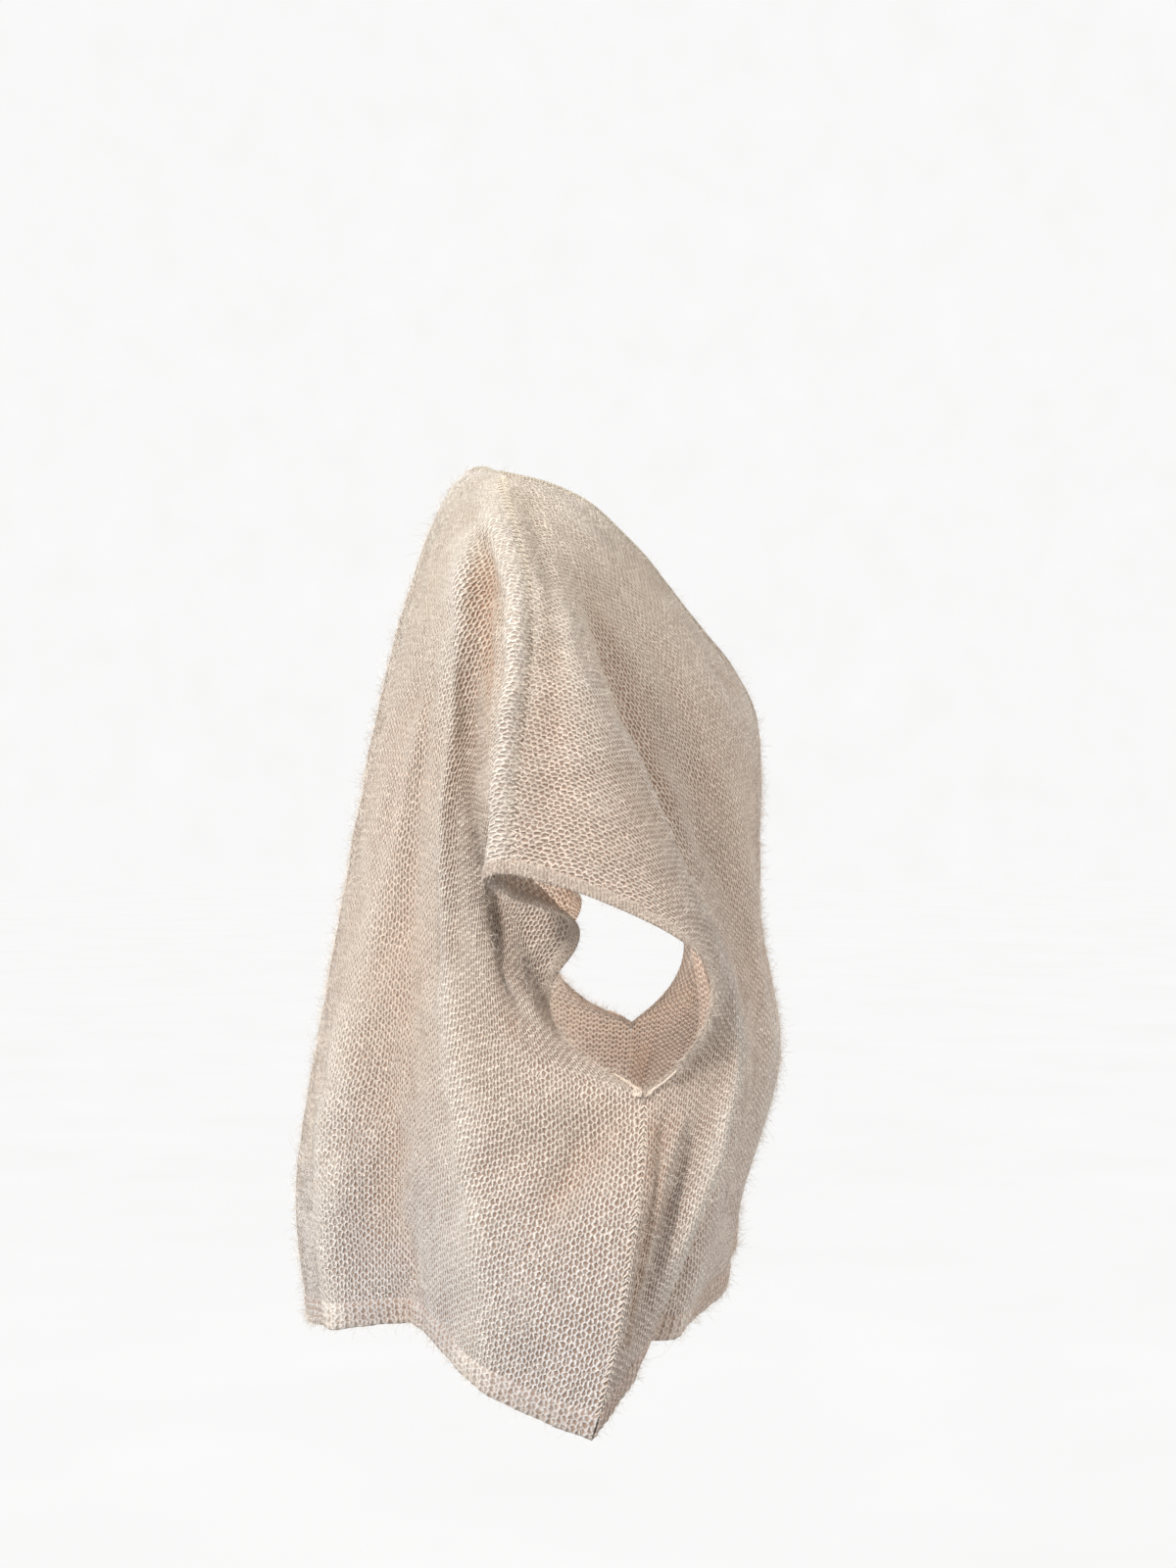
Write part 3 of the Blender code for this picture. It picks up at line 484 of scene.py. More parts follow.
    def sunk(self, across, down):
        return read_table(self.depth, *self.spot(across, down))[..., 0]

    def glowing(self, across, down):
        total = np.zeros(across.size)
        for side, line, half_width, strength, fade_in, fade_out in self.glow:
            profile = fold_profile(across.ravel() * side, down.ravel(), line, half_width, fade_in,
                                   fade_out)
            total += strength * profile
        return total.reshape(across.shape)


def grid_piece(name, points, stitches, material, outward, marks=()):
    """A mesh of four-sided faces over rows by columns of points, with its stitch counts as UVs.
    A table of stitches with one more row or column than the points closes that way round."""
    rows, columns = points.shape[:2]
    number = np.arange(rows * columns).reshape(rows, columns)
    number = np.concatenate((number, number[:stitches.shape[0] - rows]))
    number = np.concatenate((number, number[:, :stitches.shape[1] - columns]), axis=1)
    corners = (number[:-1, :-1], number[1:, :-1], number[1:, 1:], number[:-1, 1:])
    faces = np.stack([corner.ravel() for corner in corners], axis=1)
    corners = (stitches[:-1, :-1], stitches[1:, :-1], stitches[1:, 1:], stitches[:-1, 1:])
    counts = np.stack([corner.reshape(-1, 2) for corner in corners], axis=1)
    points = points.reshape(-1, 3) * CM
    a, b, c = points[faces[:, 0]], points[faces[:, 1]], points[faces[:, 2]]
    if np.sum(np.cross(b - a, c - a) * outward.reshape(-1, 3)[faces[:, 0]]) < 0:
        faces = faces[:, ::-1]
        counts = counts[:, ::-1]
    return mesh_piece(name, points, faces, material, counts.reshape(-1, 2), marks)


def mesh_piece(name, points, faces, material, counts=None, marks=()):
    mesh = bpy.data.meshes.new(name)
    sides = faces.shape[1]
    mesh.vertices.add(len(points))
    mesh.vertices.foreach_set("co", points.astype(np.float32).ravel())
    mesh.loops.add(faces.size)
    mesh.loops.foreach_set("vertex_index", faces.astype(np.int32).ravel())
    mesh.polygons.add(len(faces))
    mesh.polygons.foreach_set("loop_start", np.arange(0, faces.size, sides, dtype=np.int32))
    mesh.update(calc_edges=True)
    if counts is not None:
        layer = mesh.uv_layers.new(name="stitches")
        layer.data.foreach_set("uv", counts.astype(np.float32).ravel())
    for mark, values in marks:
        layer = mesh.attributes.new(mark, "FLOAT", "POINT")
        layer.data.foreach_set("value", values.astype(np.float32).ravel())
    mesh.shade_smooth()
    mesh.materials.append(material)
    piece = bpy.data.objects.new(name, mesh)
    bpy.context.scene.collection.objects.link(piece)
    return piece


class Graph:
    """Short ways to add shader nodes."""

    def __init__(self, name):
        self.material = bpy.data.materials.new(name)
        self.material.use_nodes = True
        self.tree = self.material.node_tree
        self.shader = self.tree.nodes["Principled BSDF"]

    def node(self, kind, **settings):
        node = self.tree.nodes.new(kind)
        for key, value in settings.items():
            setattr(node, key, value)
        return node

    def put(self, socket, value):
        if isinstance(value, bpy.types.NodeSocket):
            self.tree.links.new(value, socket)
        else:
            socket.default_value = value

    def math(self, operation, *values, clamp=False):
        node = self.node("ShaderNodeMath", operation=operation, use_clamp=clamp)
        for socket, value in zip(node.inputs, values):
            self.put(socket, value)
        return node.outputs[0]

    def mix(self, share, first, second):
        node = self.node("ShaderNodeMix", data_type="RGBA")
        self.put(node.inputs[0], share)
        self.put(node.inputs[6], first)
        self.put(node.inputs[7], second)
        return node.outputs[2]

    def noise(self, vector, scale, detail=2.0):
        node = self.node("ShaderNodeTexNoise")
        self.put(node.inputs["Vector"], vector)
        self.put(node.inputs["Scale"], scale)
        self.put(node.inputs["Detail"], detail)
        return node.outputs[0]

    def mark(self, name):
        return self.node("ShaderNodeAttribute", attribute_name=name).outputs["Fac"]

    def ramp(self, value, low, high):
        node = self.node("ShaderNodeMapRange", interpolation_type="SMOOTHSTEP")
        self.put(node.inputs["Value"], value)
        self.put(node.inputs["From Min"], low)
        self.put(node.inputs["From Max"], high)
        return node.outputs[0]


def knit(name, strand, gap, fold_glow, low, bump, veil, sheen=.3):
    """Brushed stockinette: swaying strands with dark gaps of painted shade, half veiled by its own
    fibres; painted shade and glow in folds, a painted highlight on ridges and painted light and
    shade by height.
    """
    g = Graph(name)
    place = g.node("ShaderNodeTexCoord").outputs["Object"]
    height_split = g.node("ShaderNodeSeparateXYZ")
    g.put(height_split.inputs[0], place)
    stitches = g.node("ShaderNodeUVMap", uv_map="stitches").outputs[0]
    split = g.node("ShaderNodeSeparateXYZ")
    g.put(split.inputs[0], stitches)
    drift = g.math("MULTIPLY_ADD", g.noise(place, 45.0), .8, -.4)
    jolt = g.node("ShaderNodeTexNoise")
    g.put(jolt.inputs["Vector"], place)
    g.put(jolt.inputs["Scale"], 210.0)
    g.put(jolt.inputs["Detail"], 1.0)
    jolts = g.node("ShaderNodeSeparateColor")
    g.put(jolts.inputs[0], jolt.outputs[1])
    u = g.math("ADD", split.outputs[0], g.math("MULTIPLY_ADD", jolts.outputs[0], .38, drift))
    v = g.math("ADD", split.outputs[1], g.math("MULTIPLY_ADD", jolts.outputs[1], .6, drift))
    side = g.math("ABSOLUTE", g.math("SUBTRACT", g.math("FRACT", u), .5))
    row = g.math("MULTIPLY", v, 2 * np.pi)
    lean = g.math("MULTIPLY", g.math("SINE", g.math("MULTIPLY", row, 2.0)), .35)
    sway = g.math("MULTIPLY_ADD", g.math("ADD", g.math("SINE", row), lean), -.09, .25)
    off = g.math("ABSOLUTE", g.math("SUBTRACT", side, sway))
    turn = g.math("MULTIPLY", g.math("MULTIPLY_ADD", side, 2.2, v), 2 * np.pi)
    face = g.math("SUBTRACT", 1.0, g.ramp(off, .0, .27))
    face = g.math("MULTIPLY", face, g.math("MULTIPLY_ADD", g.math("COSINE", turn), .16, .84))
    ripple = g.math("COSINE", g.math("MULTIPLY", u, 2 * np.pi))
    arch = g.math("MULTIPLY", g.math("MULTIPLY_ADD", ripple, .16, v), 2 * np.pi)
    purl = g.math("MULTIPLY_ADD", g.math("COSINE", arch), .42, .5)
    purl = g.math("MULTIPLY_ADD", ripple, .12, purl)
    behind = g.node("ShaderNodeNewGeometry").outputs["Backfacing"]
    inside = g.math("MULTIPLY", behind, .55)
    form = g.math("ADD", g.math("MULTIPLY", face, g.math("SUBTRACT", 1.0, inside)),
                  g.math("MULTIPLY", purl, inside))
    fuzz = g.noise(place, 650.0, 3.0)
    height = g.math("MULTIPLY_ADD", fuzz, .3, form)
    clouds = g.noise(place, 17.0, 3.0)
    cover = g.math("MULTIPLY_ADD", clouds, .5, veil - .05, clamp=True)
    cover = g.math("MULTIPLY_ADD", g.ramp(jolts.outputs[2], .48, .62), .2, cover, clamp=True)
    # Painted highlight: on ridges more of the gaps are veiled, so the ridges read lighter.
    cover = g.math("MULTIPLY_ADD", g.mark("ridge_highlight"), .32, cover, clamp=True)
    cover = g.math("MULTIPLY_ADD", g.mark("open"), -.42, cover, clamp=True)
    shown = g.ramp(height, .08, 1.05)
    shown = g.math("ADD", g.math("MULTIPLY", shown, g.math("SUBTRACT", 1.0, cover)), cover,
                   clamp=True)
    body = g.mix(g.ramp(g.noise(place, 9.0), .35, .65), strand, tuple(
        c * k for c, k in zip(strand, (1.03, .985, .94, 1))))
    # Painted light: the panels turn a little yellower towards their top.
    body = g.mix(g.ramp(height_split.outputs[2], -.22, 0.0), body, tuple(
        c * k for c, k in zip(strand, (.98, 1.01, .95, 1))))
    # Painted shade: lower down, the panels turn greyer and cooler, and the hem rib takes a darker
    # colour.
    body = g.mix(g.mark("low"), body, low)
    # Painted highlight: ridges and the back's seam roll turn towards a paler crest colour.
    body = g.mix(g.math("MULTIPLY", g.mark("ridge_highlight"), .75), body, CREST_HIGHLIGHT)
    # Painted shade and glow: deep in folds and along the glow lines the strands turn a warm tan and
    # the gaps a warm orange.
    body = g.mix(g.mark("sunk"), body, fold_glow)
    # Painted shade in the gaps between strands, a little lighter where the knit is tight.
    dark = g.mix(g.mark("open"), tuple(c * 1.35 for c in gap), gap)
    dark = g.mix(g.mark("sunk"), dark, tuple(a * b * 1.5 for a, b in zip(gap, fold_glow)))
    colour = g.mix(shown, dark, body)
    g.put(g.shader.inputs["Base Color"], colour)
    g.put(g.shader.inputs["Roughness"], g.math("MULTIPLY_ADD", fuzz, .12, .82))
    g.put(g.shader.inputs["Sheen Weight"], sheen)
    g.put(g.shader.inputs["Sheen Roughness"], .45)
    g.put(g.shader.inputs["Sheen Tint"], (.93, .90, .84, 1))
    g.put(g.shader.inputs["Specular IOR Level"], .15)
    node = g.node("ShaderNodeBump")
    g.put(node.inputs["Height"], height)
    g.put(node.inputs["Distance"], bump)
    g.put(node.inputs["Strength"], 1.0)
    g.put(g.shader.inputs["Normal"], node.outputs[0])
    return g.material


def fibre_material(name, colour):
    g = Graph(name)
    place = g.node("ShaderNodeTexCoord").outputs["Object"]
    paler = tuple(min(c * 1.15, 1) for c in colour)
    g.put(g.shader.inputs["Base Color"], g.mix(g.noise(place, 90.0), colour, paler))
    g.put(g.shader.inputs["Roughness"], .6)
    g.put(g.shader.inputs["Sheen Weight"], .3)
    g.put(g.shader.inputs["Specular IOR Level"], .3)
    return g.material


def panel_piece(name, cloth, material):
    """One panel in its wales, raised a little along each line of stitches."""
    columns = WALES * QUADS_PER_WALE
    across = np.linspace(-HALF_WIDTH, HALF_WIDTH, columns + 1)
    top = cloth.top_line(across)
    part = np.linspace(0, 1, PANEL_ROWS + 1)[:, None]
    down = top + part * (LENGTH - HEM_RIB_HEIGHT + .1 - top)
    across = np.tile(across, (PANEL_ROWS + 1, 1))
    over_rim = ease((underarm() + 1 - down) / 1)
    across = across * (1 - .2 / HALF_WIDTH * over_rim)
    top = cloth.top_line(across)
    down = top + part * (LENGTH - HEM_RIB_HEIGHT + .1 - top)
    normal = cloth.outward(across, down)
    wale = across * WALES / (2 * HALF_WIDTH) + WALES / 2
    profile = .5 - .5 * np.cos(4 * np.pi * wale) - .35 * np.cos(2 * np.pi * wale)
    edge = ease((HALF_WIDTH - np.abs(across)) / .8)
    edge = edge * ease((down - shoulder_line(across)) / .6)
    raised = WALE_RELIEF * profile * edge
    points = cloth.place(across, down) + raised[..., None] * normal
    stitches = np.stack((wale, down / COURSE), axis=-1)
    return grid_piece(name, points, stitches, material, normal, marks_of(cloth, across, down))


def marks_of(cloth, across, down):
    """Marks for painted light and the knit: painted shade and glow deep in folds, a painted
    highlight high on ridges, how loosely knitted each point is, and how low each point is for a
    painted shade tint.
    """
    depth = cloth.sunk(across, down)
    # Painted shade mask: how far down each point lies.
    low = (down - 36) / 20 if cloth.facing < 0 else (down - 40) / 20
    # Painted shade and glow mask: deeper where the surface lies below its neighbours, and along the
    # glow lines.
    sunk = .45 * ease((depth - .1) / 1.0) + .8 * cloth.glowing(across, down)
    beside = ease((np.abs(across) - 27) / 9) * ease((down - 36) / 6)
    cap = ease((np.abs(across) - 13) / 8) * ease((38 - down) / 8)
    base, at_cap = (.55, .2) if cloth.facing < 0 else (.7, .05)
    loose = base + .1 * beside + at_cap * cap
    below = (down - shoulder_line(across)) * .91
    roll = ease((np.abs(across) - 9) / 6) * np.exp(-((below - 1.0) / .95) ** 2)
    # Painted highlight mask: convex places, and the back's seam roll.
    ridge_highlight = ease((-depth - .05) / .9) + (roll if cloth.facing > 0 else 0)
    sunk = sunk * (1 - np.clip(ridge_highlight, 0, 1))
    return (("sunk", np.clip(sunk, 0, .9)), ("ridge_highlight", np.clip(ridge_highlight, 0, 1)),
            ("open", np.clip(loose, 0, 1)), ("low", ease(low)))


def hem_piece(name, cloth, material):
    """The 1x1 hem rib, as a closed band with ribs on both faces."""
    columns = RIBS * RIB_SAMPLES
    across = np.linspace(-HALF_WIDTH, HALF_WIDTH, columns + 1)
    top = LENGTH - HEM_RIB_HEIGHT
    outer = np.array((top - .12, top + .05, top + .3, top + .6, top + .95, top + 1.3,
                      LENGTH - .14, LENGTH - .02))
    outer_lift = np.array((.02, .10, .14, .15, .15, .15, .13, .06))
    down = np.concatenate((outer, outer[::-1]))[:, None]
    lift = np.concatenate((outer_lift, -outer_lift[::-1]))[:, None]
    down = np.broadcast_to(down, (len(down), columns + 1))
    across = np.broadcast_to(across, down.shape)
    rib = across * RIBS / (2 * HALF_WIDTH) + RIBS / 2
    wave = -np.cos(2 * np.pi * rib) * RIB_RELIEF * ease(np.abs(lift) / .12)
    drop = .05 * np.sin(across * 1.9 + 1) * np.sin(across * .53) * ease((down - top) / 1.7)
    points = cloth.place(across, np.minimum(down, LENGTH))
    points = points + (lift + wave)[..., None] * cloth.outward(across, down)
    points[..., 2] -= drop
    count = np.cumsum(np.concatenate(([0], np.abs(np.diff(down[:, 0])), [.24]))) / COURSE
    stitches = np.stack(np.broadcast_arrays(rib[:1], count[:, None]), axis=-1)
    side = np.sign(lift)[..., None] * cloth.outward(across, down)
    return grid_piece(name, points, stitches, material, side, marks_of(cloth, across, down))


def loop_piece(name, sections, material, thickness, curl, pitch, ripple, reach):
    """A narrow edge round an opening. Each section gives its free rim and its line on the panel,
    reach is how far the edge goes to either side of its middle, as a share of their gap, and curl
    is how far its free rim turns in."""
    points, normals, along = sections
    for _ in range(6):
        normals = unit(normals + np.roll(normals, 1, axis=1) + np.roll(normals, -1, axis=1))
    turn = np.linspace(0, 2 * np.pi, 17)[:-1]
    part = .5 - reach * np.cos(turn)
    lift = thickness / 2 * np.sign(np.sin(turn)) * np.abs(np.sin(turn)) ** .7
    table = part[:, None, None] * points[1] + (1 - part[:, None, None]) * points[0]
    middle = (1 - part[:, None, None]) * normals[0] + part[:, None, None] * normals[1]
    middle = unit(middle)
    bead = 1 + ripple * np.cos(2 * np.pi * along / COURSE)[None, :]
    sunk = -curl * np.clip(1 - part, 0, 1)[:, None] ** 1.5
    shape = table + (lift[:, None] * bead + sunk)[..., None] * middle
    round_it = np.linalg.norm(np.diff(shape[:, 0], axis=0, append=shape[:1, 0]), axis=1)
    width = np.concatenate(([0], np.cumsum(round_it))) / pitch
    run = np.append(along, along[-1] + along[1] - along[0]) / COURSE
    stitches = np.stack(np.broadcast_arrays(run[None, :], width[:, None]), axis=-1)
    return grid_piece(name, shape, stitches, material, shape - shape.mean(axis=0))


def rim_sections(lines):
    """Free rim and panel line of an opening: their points, normals and the length round."""
    rows = []
    for which in (0, 1):
        places = [cloth.place(*line[which]) for cloth, line in lines]
        normals = [cloth.outward(*line[which]) for cloth, line in lines]
        rows.append((np.concatenate(places), np.concatenate(normals)))
    points = np.stack((rows[0][0], rows[1][0]))
    normals = np.stack((rows[0][1], rows[1][1]))
    along = np.cumsum(np.linalg.norm(np.diff(points[1], axis=0, prepend=points[1][:1]), axis=1))
    return points, normals, along


def neck_sections(count):
    lines = []
    for cloth, order in ((FRONT, 1), (BACK, -1)):
        steps = count if cloth is FRONT else count // 3
        across = order * np.linspace(-NECK_COLUMN, NECK_COLUMN, steps, endpoint=False)
        rim = across * NECK_HALF_WIDTH / NECK_COLUMN
        lines.append((cloth, ((rim, cloth.neck_line(rim)), (across, cloth.neck_cut(across)))))
    return rim_sections(lines)


def armhole_sections(side, count):
    lines = []
    for cloth, order in ((FRONT, slice(None, 0, -1)), (BACK, slice(None, -1))):
        part = np.linspace(0, 1, count)
        free = SHOULDER_DROP + ARMHOLE_DEPTH * part
        turn = ease((free - underarm() + 1.2) / 1.2) * np.pi / 2
        cut = HALF_WIDTH - ARMHOLE_EDGE_WIDTH * np.cos(turn)
        cut_down = shoulder_line(HALF_WIDTH - ARMHOLE_EDGE_WIDTH) * (1 - part) + part * underarm()
        cut_down = cut_down + ARMHOLE_EDGE_WIDTH * np.sin(turn)
        rim = np.full(count, HALF_WIDTH)
        lines.append((cloth, ((side * rim[order], free[order]),
                              (side * cut[order], cut_down[order]))))
    return rim_sections(lines)


def strands(name, starts, ends, rises, radius, material):
    """Short arched strands of yarn, each from its start to its end over a rise."""
    sides = 6
    rings = 5
    part = np.linspace(0, 1, rings)
    count = len(starts)
    middle = starts[:, None] + (ends - starts)[:, None] * part[:, None]
    middle = middle + rises[:, None] * np.sin(np.pi * part)[:, None]
    run = unit(ends - starts)
    first = unit(np.cross(run, rises))
    second = unit(np.cross(run, first))
    turn = np.linspace(0, 2 * np.pi, sides, endpoint=False)
    girth = radius * (.45 + .55 * np.sin(np.pi * np.clip(part, .04, .96)) ** .5)
    around = (np.cos(turn)[:, None] * first[:, None, None] + np.sin(turn)[:, None]
              * second[:, None, None])
    points = middle[:, :, None] + girth[:, None, None] * around
    points = points.reshape(-1, 3) * CM
    k = np.arange(sides)
    one = []
    for r in range(rings - 1):
        one.append(np.stack((r * sides + k, r * sides + (k + 1) % sides,
                             (r + 1) * sides + (k + 1) % sides, (r + 1) * sides + k), axis=1))
    one = np.concatenate(one)
    faces = (np.arange(count)[:, None, None] * sides * rings + one).reshape(-1, 4)
    spread = np.tile(np.linspace(0, 1, rings)[:, None], (count, sides)).reshape(-1)
    uv = np.stack((spread[faces], spread[faces] * 2), axis=-1).reshape(-1, 2)
    return mesh_piece(name, points, faces, material, uv)


def seam_stitches(name, side, material):
    """Strands that cross the shoulder seam and the side seam, one pair for each stitch."""
    across = np.arange(10.0, HALF_WIDTH - .5, .46)
    starts, ends, rises = [], [], []
    for reach, lean, shift in ((.42, .16, 0), (-.42, .16, .23)):
        cloth, other = (FRONT, BACK) if reach > 0 else (BACK, FRONT)
        here = side * (across + shift)
        there = side * (across + shift + lean)
        seam = shoulder_line(here)
        starts.append(other.place(here, seam + .1) + other.outward(here, seam) * .05)
        ends.append(cloth.place(there, shoulder_line(there) + abs(reach))
                    + cloth.outward(there, seam + abs(reach)) * .04)
        rises.append(cloth.outward(there, seam + .2) * .04)
    down = np.arange(underarm() + .8, LENGTH - HEM_RIB_HEIGHT, .45)
    for cloth in (FRONT, BACK):
        edge = np.full(len(down), side * HALF_WIDTH)
        near = np.full(len(down), side * (HALF_WIDTH - .3))
        starts.append(cloth.place(edge, down) + cloth.outward(near, down) * .02)
        ends.append(cloth.place(near, down + .4) + cloth.outward(near, down) * .03)
        rises.append(cloth.outward(near, down) * .05)
    return strands(name, np.concatenate(starts), np.concatenate(ends), np.concatenate(rises),
                   SEAM_STRAND, material)


def armhole_strands(name, side, material):
    """Thick pale strands that gather at the foot of the armhole."""
    chance = np.random.default_rng(5 + side)
    starts, ends, rises = [], [], []
    for cloth in (FRONT, BACK):
        down = underarm() - chance.uniform(0, 2.8, ARMHOLE_STRANDS)
        edge = side * np.full(ARMHOLE_STRANDS, HALF_WIDTH)
        inner = side * (HALF_WIDTH - chance.uniform(.1, .6, ARMHOLE_STRANDS))
        start = cloth.place(edge, down) + cloth.outward(edge, down) * .14
        lower = np.minimum(down + chance.uniform(.7, 1.4, ARMHOLE_STRANDS), underarm() + .3)
        end = cloth.place(inner, lower) + cloth.outward(inner, lower) * .16
        starts.append(start)
        ends.append(end)
        rises.append(cloth.outward(inner, lower) * .08)
    return strands(name, np.concatenate(starts), np.concatenate(ends), np.concatenate(rises),
                   ARMHOLE_STRAND, material)


def face_fibres(name, cloth, count, material, seed):
    """Loose mohair fibres standing off the whole face of one panel."""
    chance = np.random.default_rng(seed)
    tried = int(count * 1.6)
    across = chance.uniform(-HALF_WIDTH, HALF_WIDTH, tried)
    down = chance.uniform(0, LENGTH, tried)
    kept = down > cloth.top_line(across) - .3
    across, down = across[kept][:count], down[kept][:count]
    normal = cloth.outward(across, down)
    base = cloth.place(across, down) + .03 * normal
    return fibres(name, base, normal, material, chance)


def edge_fibres(name, material, seed):
    """Loose fibres along the armholes, the hem and the shoulder seams."""
    chance = np.random.default_rng(seed)
    bases, normals = [], []
    for cloth in (FRONT, BACK):
        for side in (-1, 1):
            down = chance.uniform(SHOULDER_DROP, underarm() + .3, ARMHOLE_FIBRES)
            across = side * (HALF_WIDTH - chance.uniform(0, .6, len(down)))
            way = unit(cloth.place(across, down) - cloth.place(across - side, down))
            bases.append(cloth.place(across, down))
            normals.append(unit(cloth.outward(across, down) + way))
            across = side * chance.uniform(10, HALF_WIDTH, SHOULDER_FIBRES)
            down = shoulder_line(across) + chance.uniform(0, 1.4, len(across))
            bases.append(cloth.place(across, down))
            normals.append(cloth.outward(across, down))
        across = chance.uniform(-HALF_WIDTH, HALF_WIDTH, HEM_FIBRES)
        down = LENGTH - chance.uniform(0, .8, len(across))
        way = unit(cloth.place(across, down) - cloth.place(across, down - 1))
        bases.append(cloth.place(across, down) + .1 * cloth.outward(across, down))
        normals.append(unit(cloth.outward(across, down) + .6 * way))
    return fibres(name, np.concatenate(bases), np.concatenate(normals), material, chance)


def fibres(name, base, normal, material, chance):
    """Thin strips that bend and taper, each from its base out along its normal."""
    count = len(base)
    level = unit(np.cross(normal, chance.normal(size=(count, 3))))
    bend = unit(np.cross(normal, chance.normal(size=(count, 3))))
    lean = chance.uniform(.35, 1.45, count)[:, None]
    length = chance.gamma(4, .16, count).clip(.2, 1.5)[:, None]
    start = unit(np.cos(lean) * normal + np.sin(lean) * level)
    width = unit(np.cross(start, chance.normal(size=(count, 3)))) * FIBRE_WIDTH
    curl = chance.uniform(.1, .7, count)[:, None]
    rings = []
    for part, wide in ((0, 1), (.35, .9), (.7, .7)):
        middle = base + length * (part * start + curl * part ** 2 * (bend - .35 * normal))
        rings += [middle - wide * width, middle + wide * width]
    rings.append(base + length * (start + curl * (bend - .35 * normal)))
    points = np.stack(rings, axis=1).reshape(-1, 3) * CM
    one = np.array(((0, 1, 3), (0, 3, 2), (2, 3, 5), (2, 5, 4), (4, 5, 6)))
    faces = (np.arange(count)[:, None, None] * 7 + one).reshape(-1, 3)
    return mesh_piece(name, points, faces, material)


FRONT = Cloth(FRONT_WALES, FRONT_ARMHOLE, FRONT_FOLDS, FRONT_CREASES, FRONT_GLOW,
              FRONT_NECK_DEPTH, -1, 11)
BACK = Cloth(BACK_WALES, BACK_ARMHOLE, BACK_FOLDS, BACK_CREASES, BACK_GLOW, BACK_NECK_DEPTH, 1, 12)

# The front and back are one yarn: the front's strand colour is the back's with painted shade, a
# little darker and warmer.
FRONT_STRAND_SHADED = (.84, .71, .605, 1)
BACK_STRAND = (.84, .735, .64, 1)
# Painted highlight colour for ridges and the seam roll
CREST_HIGHLIGHT = (.95, .88, .79, 1)
# Painted shade: the dark colour between the strands, where the gaps of the knit fall into shadow
GAP_SHADE = (.30, .20, .15, 1)
# Painted shade and glow colour for the troughs of the folds
FOLD_GLOW = (.76, .575, .44, 1)
# Painted shade tints for the lower panels, and darker ones for the hem rib
LOW_FRONT_SHADE = (.85, .74, .665, 1)
LOW_BACK_SHADE = (.83, .79, .77, 1)
RIB_FRONT_SHADE = (.60, .50, .445, 1)
RIB_BACK_SHADE = (.66, .62, .60, 1)
front_body = knit("front_oatmeal_knit", FRONT_STRAND_SHADED, GAP_SHADE, FOLD_GLOW, LOW_FRONT_SHADE, .0018, .04)
back_body = knit("back_oatmeal_knit", BACK_STRAND, GAP_SHADE, FOLD_GLOW, LOW_BACK_SHADE, .0018, .06)
front_rib = knit("front_oatmeal_rib", FRONT_STRAND_SHADED, GAP_SHADE, FOLD_GLOW, RIB_FRONT_SHADE, .0010, .2)
back_rib = knit("back_oatmeal_rib", BACK_STRAND, GAP_SHADE, FOLD_GLOW, RIB_BACK_SHADE, .0010, .2)
# Painted shade: the armhole rims and the neck roll are the same yarn as the panels, coloured darker
# and greyer where they turn away from the light
edge = knit("pale_edge", (.66, .57, .49, 1), (.32, .22, .17, 1), FOLD_GLOW, FRONT_STRAND_SHADED, .0014, .1)
shaded_collar = knit("neck_roll", (.66, .585, .50, 1), (.36, .28, .22, 1), FOLD_GLOW, (.66, .585, .50, 1),
              .0013, .15)
thread = knit("seam_strands", (.76, .67, .58, 1), (.5, .38, .29, 1), FOLD_GLOW, (.76, .67, .58, 1),
              .0002, .6)
halo = fibre_material("mohair_fibre", (.74, .66, .57, 1))

front = panel_piece("front_panel_knit", FRONT, front_body)
back = panel_piece("back_panel_knit", BACK, back_body)
front_hem = hem_piece("front_hem_rib_knit", FRONT, front_rib)
back_hem = hem_piece("back_hem_rib_knit", BACK, back_rib)
neck = loop_piece("neck_edge_roll", neck_sections(NECK_STEPS), shaded_collar, NECK_THICKNESS, NECK_CURL,
                  NECK_STITCH, 0, NECK_REACH)
right_rim = loop_piece("right_armhole_rim", armhole_sections(-1, RIM_STEPS), edge, RIM_THICKNESS, 0,
                       RIM_STITCH, RIM_RIPPLE, RIM_REACH)
left_rim = loop_piece("left_armhole_rim", armhole_sections(1, RIM_STEPS), edge, RIM_THICKNESS, 0,
                      RIM_STITCH, RIM_RIPPLE, RIM_REACH)
right_seams = seam_stitches("right_seam_stitches", -1, thread)
left_seams = seam_stitches("left_seam_stitches", 1, thread)
right_strands = armhole_strands("right_armhole_strands", -1, thread)
left_strands = armhole_strands("left_armhole_strands", 1, thread)
front_fibres = face_fibres("front_mohair", FRONT, FRONT_FIBRES, halo, 21)
back_fibres = face_fibres("back_mohair", BACK, BACK_FIBRES, halo, 22)
rim_fibres = edge_fibres("edge_mohair", halo, 23)

for piece, node, slot in (
        (front, "front_panel", "oatmeal_knit"), (back, "back_panel", "oatmeal_knit"),
        (front_hem, "front_hem_rib", "oatmeal_rib"), (back_hem, "back_hem_rib", "oatmeal_rib"),
        (neck, "neck_edge", "pale_edge"), (right_rim, "right_armhole_edge", "pale_edge"),
        (left_rim, "left_armhole_edge", "pale_edge")):
    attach(piece, "root")
    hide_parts(node)
for piece in (right_seams, left_seams, right_strands, left_strands, front_fibres, back_fibres,
              rim_fibres):
    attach(piece, "root")


def area_light(name, place, aim, size, power, colour):
    data = bpy.data.lights.new(name, "AREA")
    data.shape = "DISK"
    data.size = size
    data.energy = power
    data.color = colour
    light = bpy.data.objects.new(name, data)
    bpy.context.scene.collection.objects.link(light)
    light.location = place
    way = (aim[0] - place[0], aim[1] - place[1], aim[2] - place[2])
    light.rotation_euler = Vector(way).to_track_quat("-Z", "Y").to_euler()
    return light


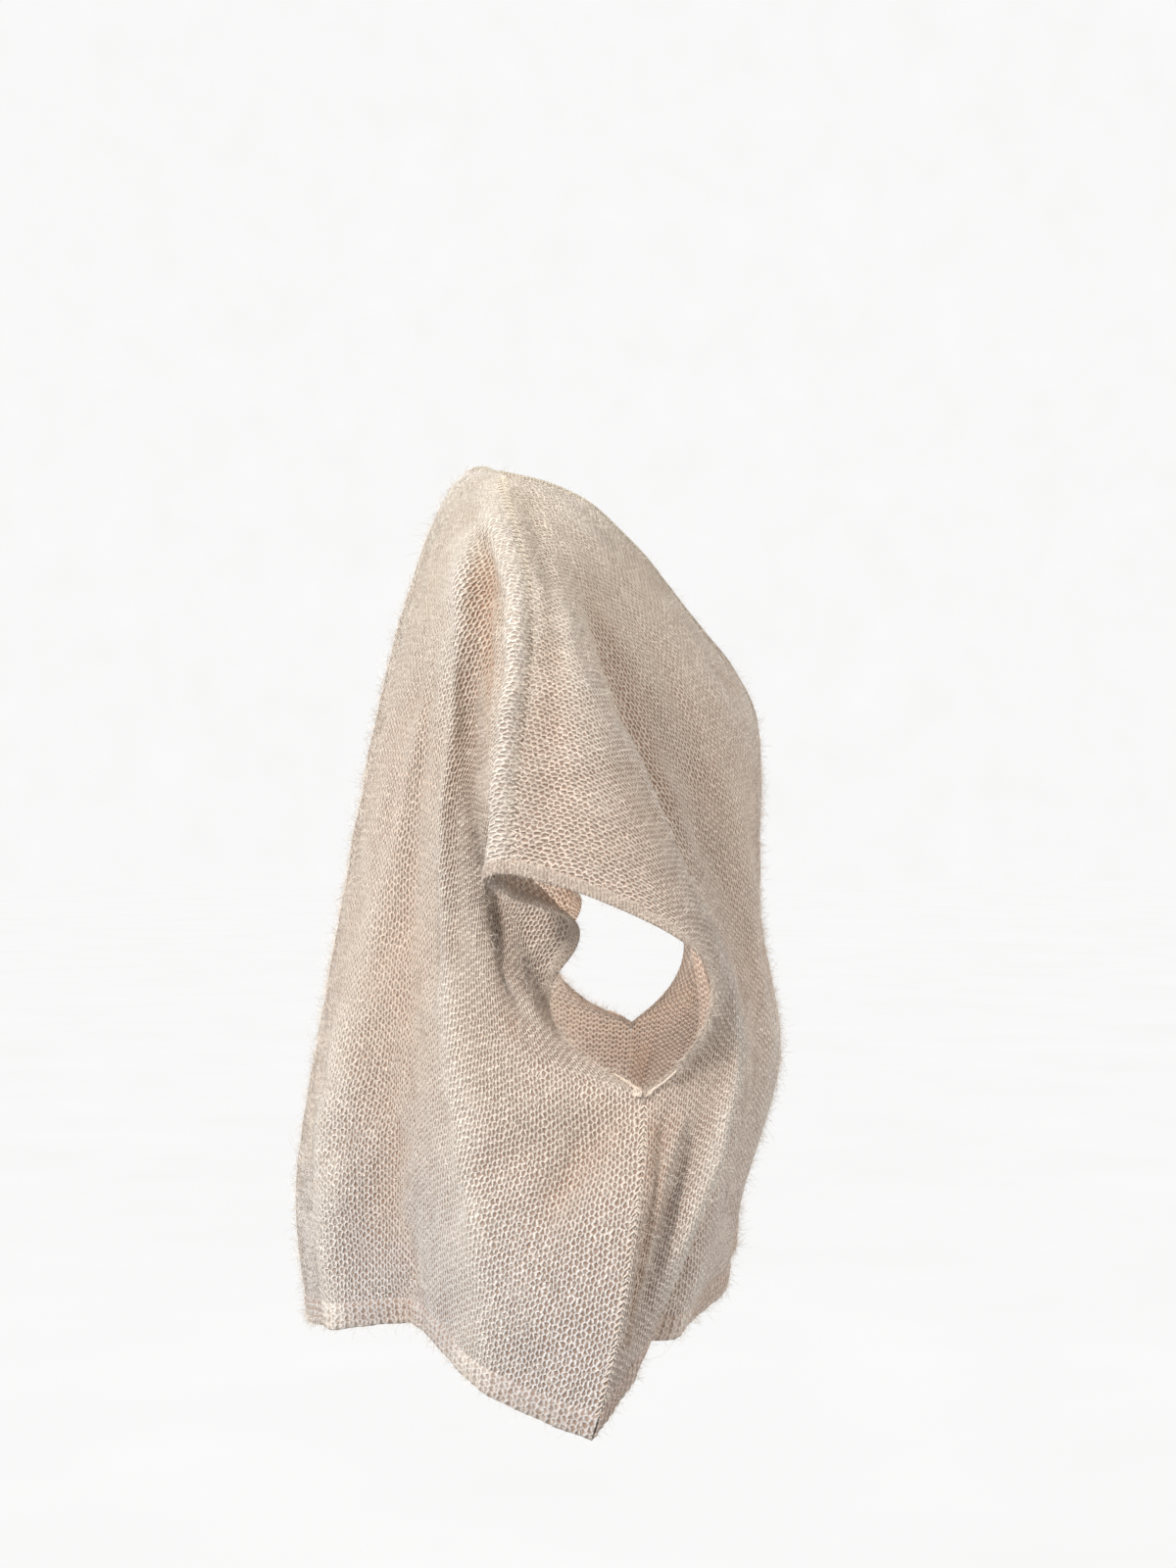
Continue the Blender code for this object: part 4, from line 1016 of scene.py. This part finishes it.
def stage_piece(name, points, faces, glow):
    """Something pale that only the camera sees, so that it throws no light on the knit."""
    g = Graph(name)
    place = g.node("ShaderNodeTexCoord").outputs["Object"]
    speck = g.mix(g.noise(place, 2.0), (.95, .95, .945, 1), (1, 1, 1, 1))
    g.put(g.shader.inputs["Base Color"], (.03, .03, .03, 1))
    g.put(g.shader.inputs["Roughness"], 1.0)
    g.put(g.shader.inputs["Specular IOR Level"], 0.0)
    g.put(g.shader.inputs["Emission Color"], speck)
    g.put(g.shader.inputs["Emission Strength"], glow)
    piece = mesh_piece(name, np.array(points, float), np.array(faces), g.material)
    piece.visible_diffuse = False
    piece.visible_glossy = False
    piece.visible_transmission = False
    piece.visible_shadow = False
    return piece


DOME_RADIUS = 30.0
DOME_SIDES = 64
DOME_RINGS = 24
STAGE_GLOW = .95
turn = np.linspace(0, 2 * np.pi, DOME_SIDES + 1)[:-1]
rise = np.linspace(-.12, np.pi / 2 - .02, DOME_RINGS + 1)
dome = [(DOME_RADIUS * np.cos(b) * np.cos(a), DOME_RADIUS * np.cos(b) * np.sin(a),
         DOME_RADIUS * np.sin(b)) for b in rise for a in turn]
dome_faces = [(r * DOME_SIDES + k, r * DOME_SIDES + (k + 1) % DOME_SIDES,
               (r + 1) * DOME_SIDES + (k + 1) % DOME_SIDES, (r + 1) * DOME_SIDES + k)
              for r in range(DOME_RINGS) for k in range(DOME_SIDES)]
stage_piece("backdrop", dome, dome_faces, STAGE_GLOW)
stage_piece("floor", ((-29, -29, -1.3), (29, -29, -1.3), (29, 29, -1.3), (-29, 29, -1.3)),
            ((0, 1, 2, 3),), STAGE_GLOW)
world = bpy.data.worlds.new("pale_studio")
world.use_nodes = True
world.node_tree.nodes["Background"].inputs["Color"].default_value = (1, 1, 1, 1)
world.node_tree.nodes["Background"].inputs["Strength"].default_value = .58
bpy.context.scene.world = world
bpy.context.scene.view_settings.view_transform = "Standard"
area_light("key", (-1.95, 1.9, 1.45), (0, 0, -.3), .7, 103, (1, .985, .965))
area_light("fill", (-1.3, -2.4, .6), (0, 0, -.35), 1.8, 38, (1, .97, .94))
inner = bpy.data.lights.new("inner", "POINT")
inner.energy = 1.6
inner.shadow_soft_size = .06
inner_object = bpy.data.objects.new("inner", inner)
inner_object.location = (0, 0, -.36)
inner_object.visible_camera = False
bpy.context.scene.collection.objects.link(inner_object)

camera = bpy.data.cameras.new("camera")
camera.lens = 63.9
camera.sensor_width = 36
camera.clip_end = 100
camera_object = bpy.data.objects.new("camera", camera)
bpy.context.scene.collection.objects.link(camera_object)
camera_object.location = (-2.0, -.059, -.215)
camera_object.rotation_euler = (np.pi / 2, 0, -np.pi / 2)
bpy.context.scene.camera = camera_object
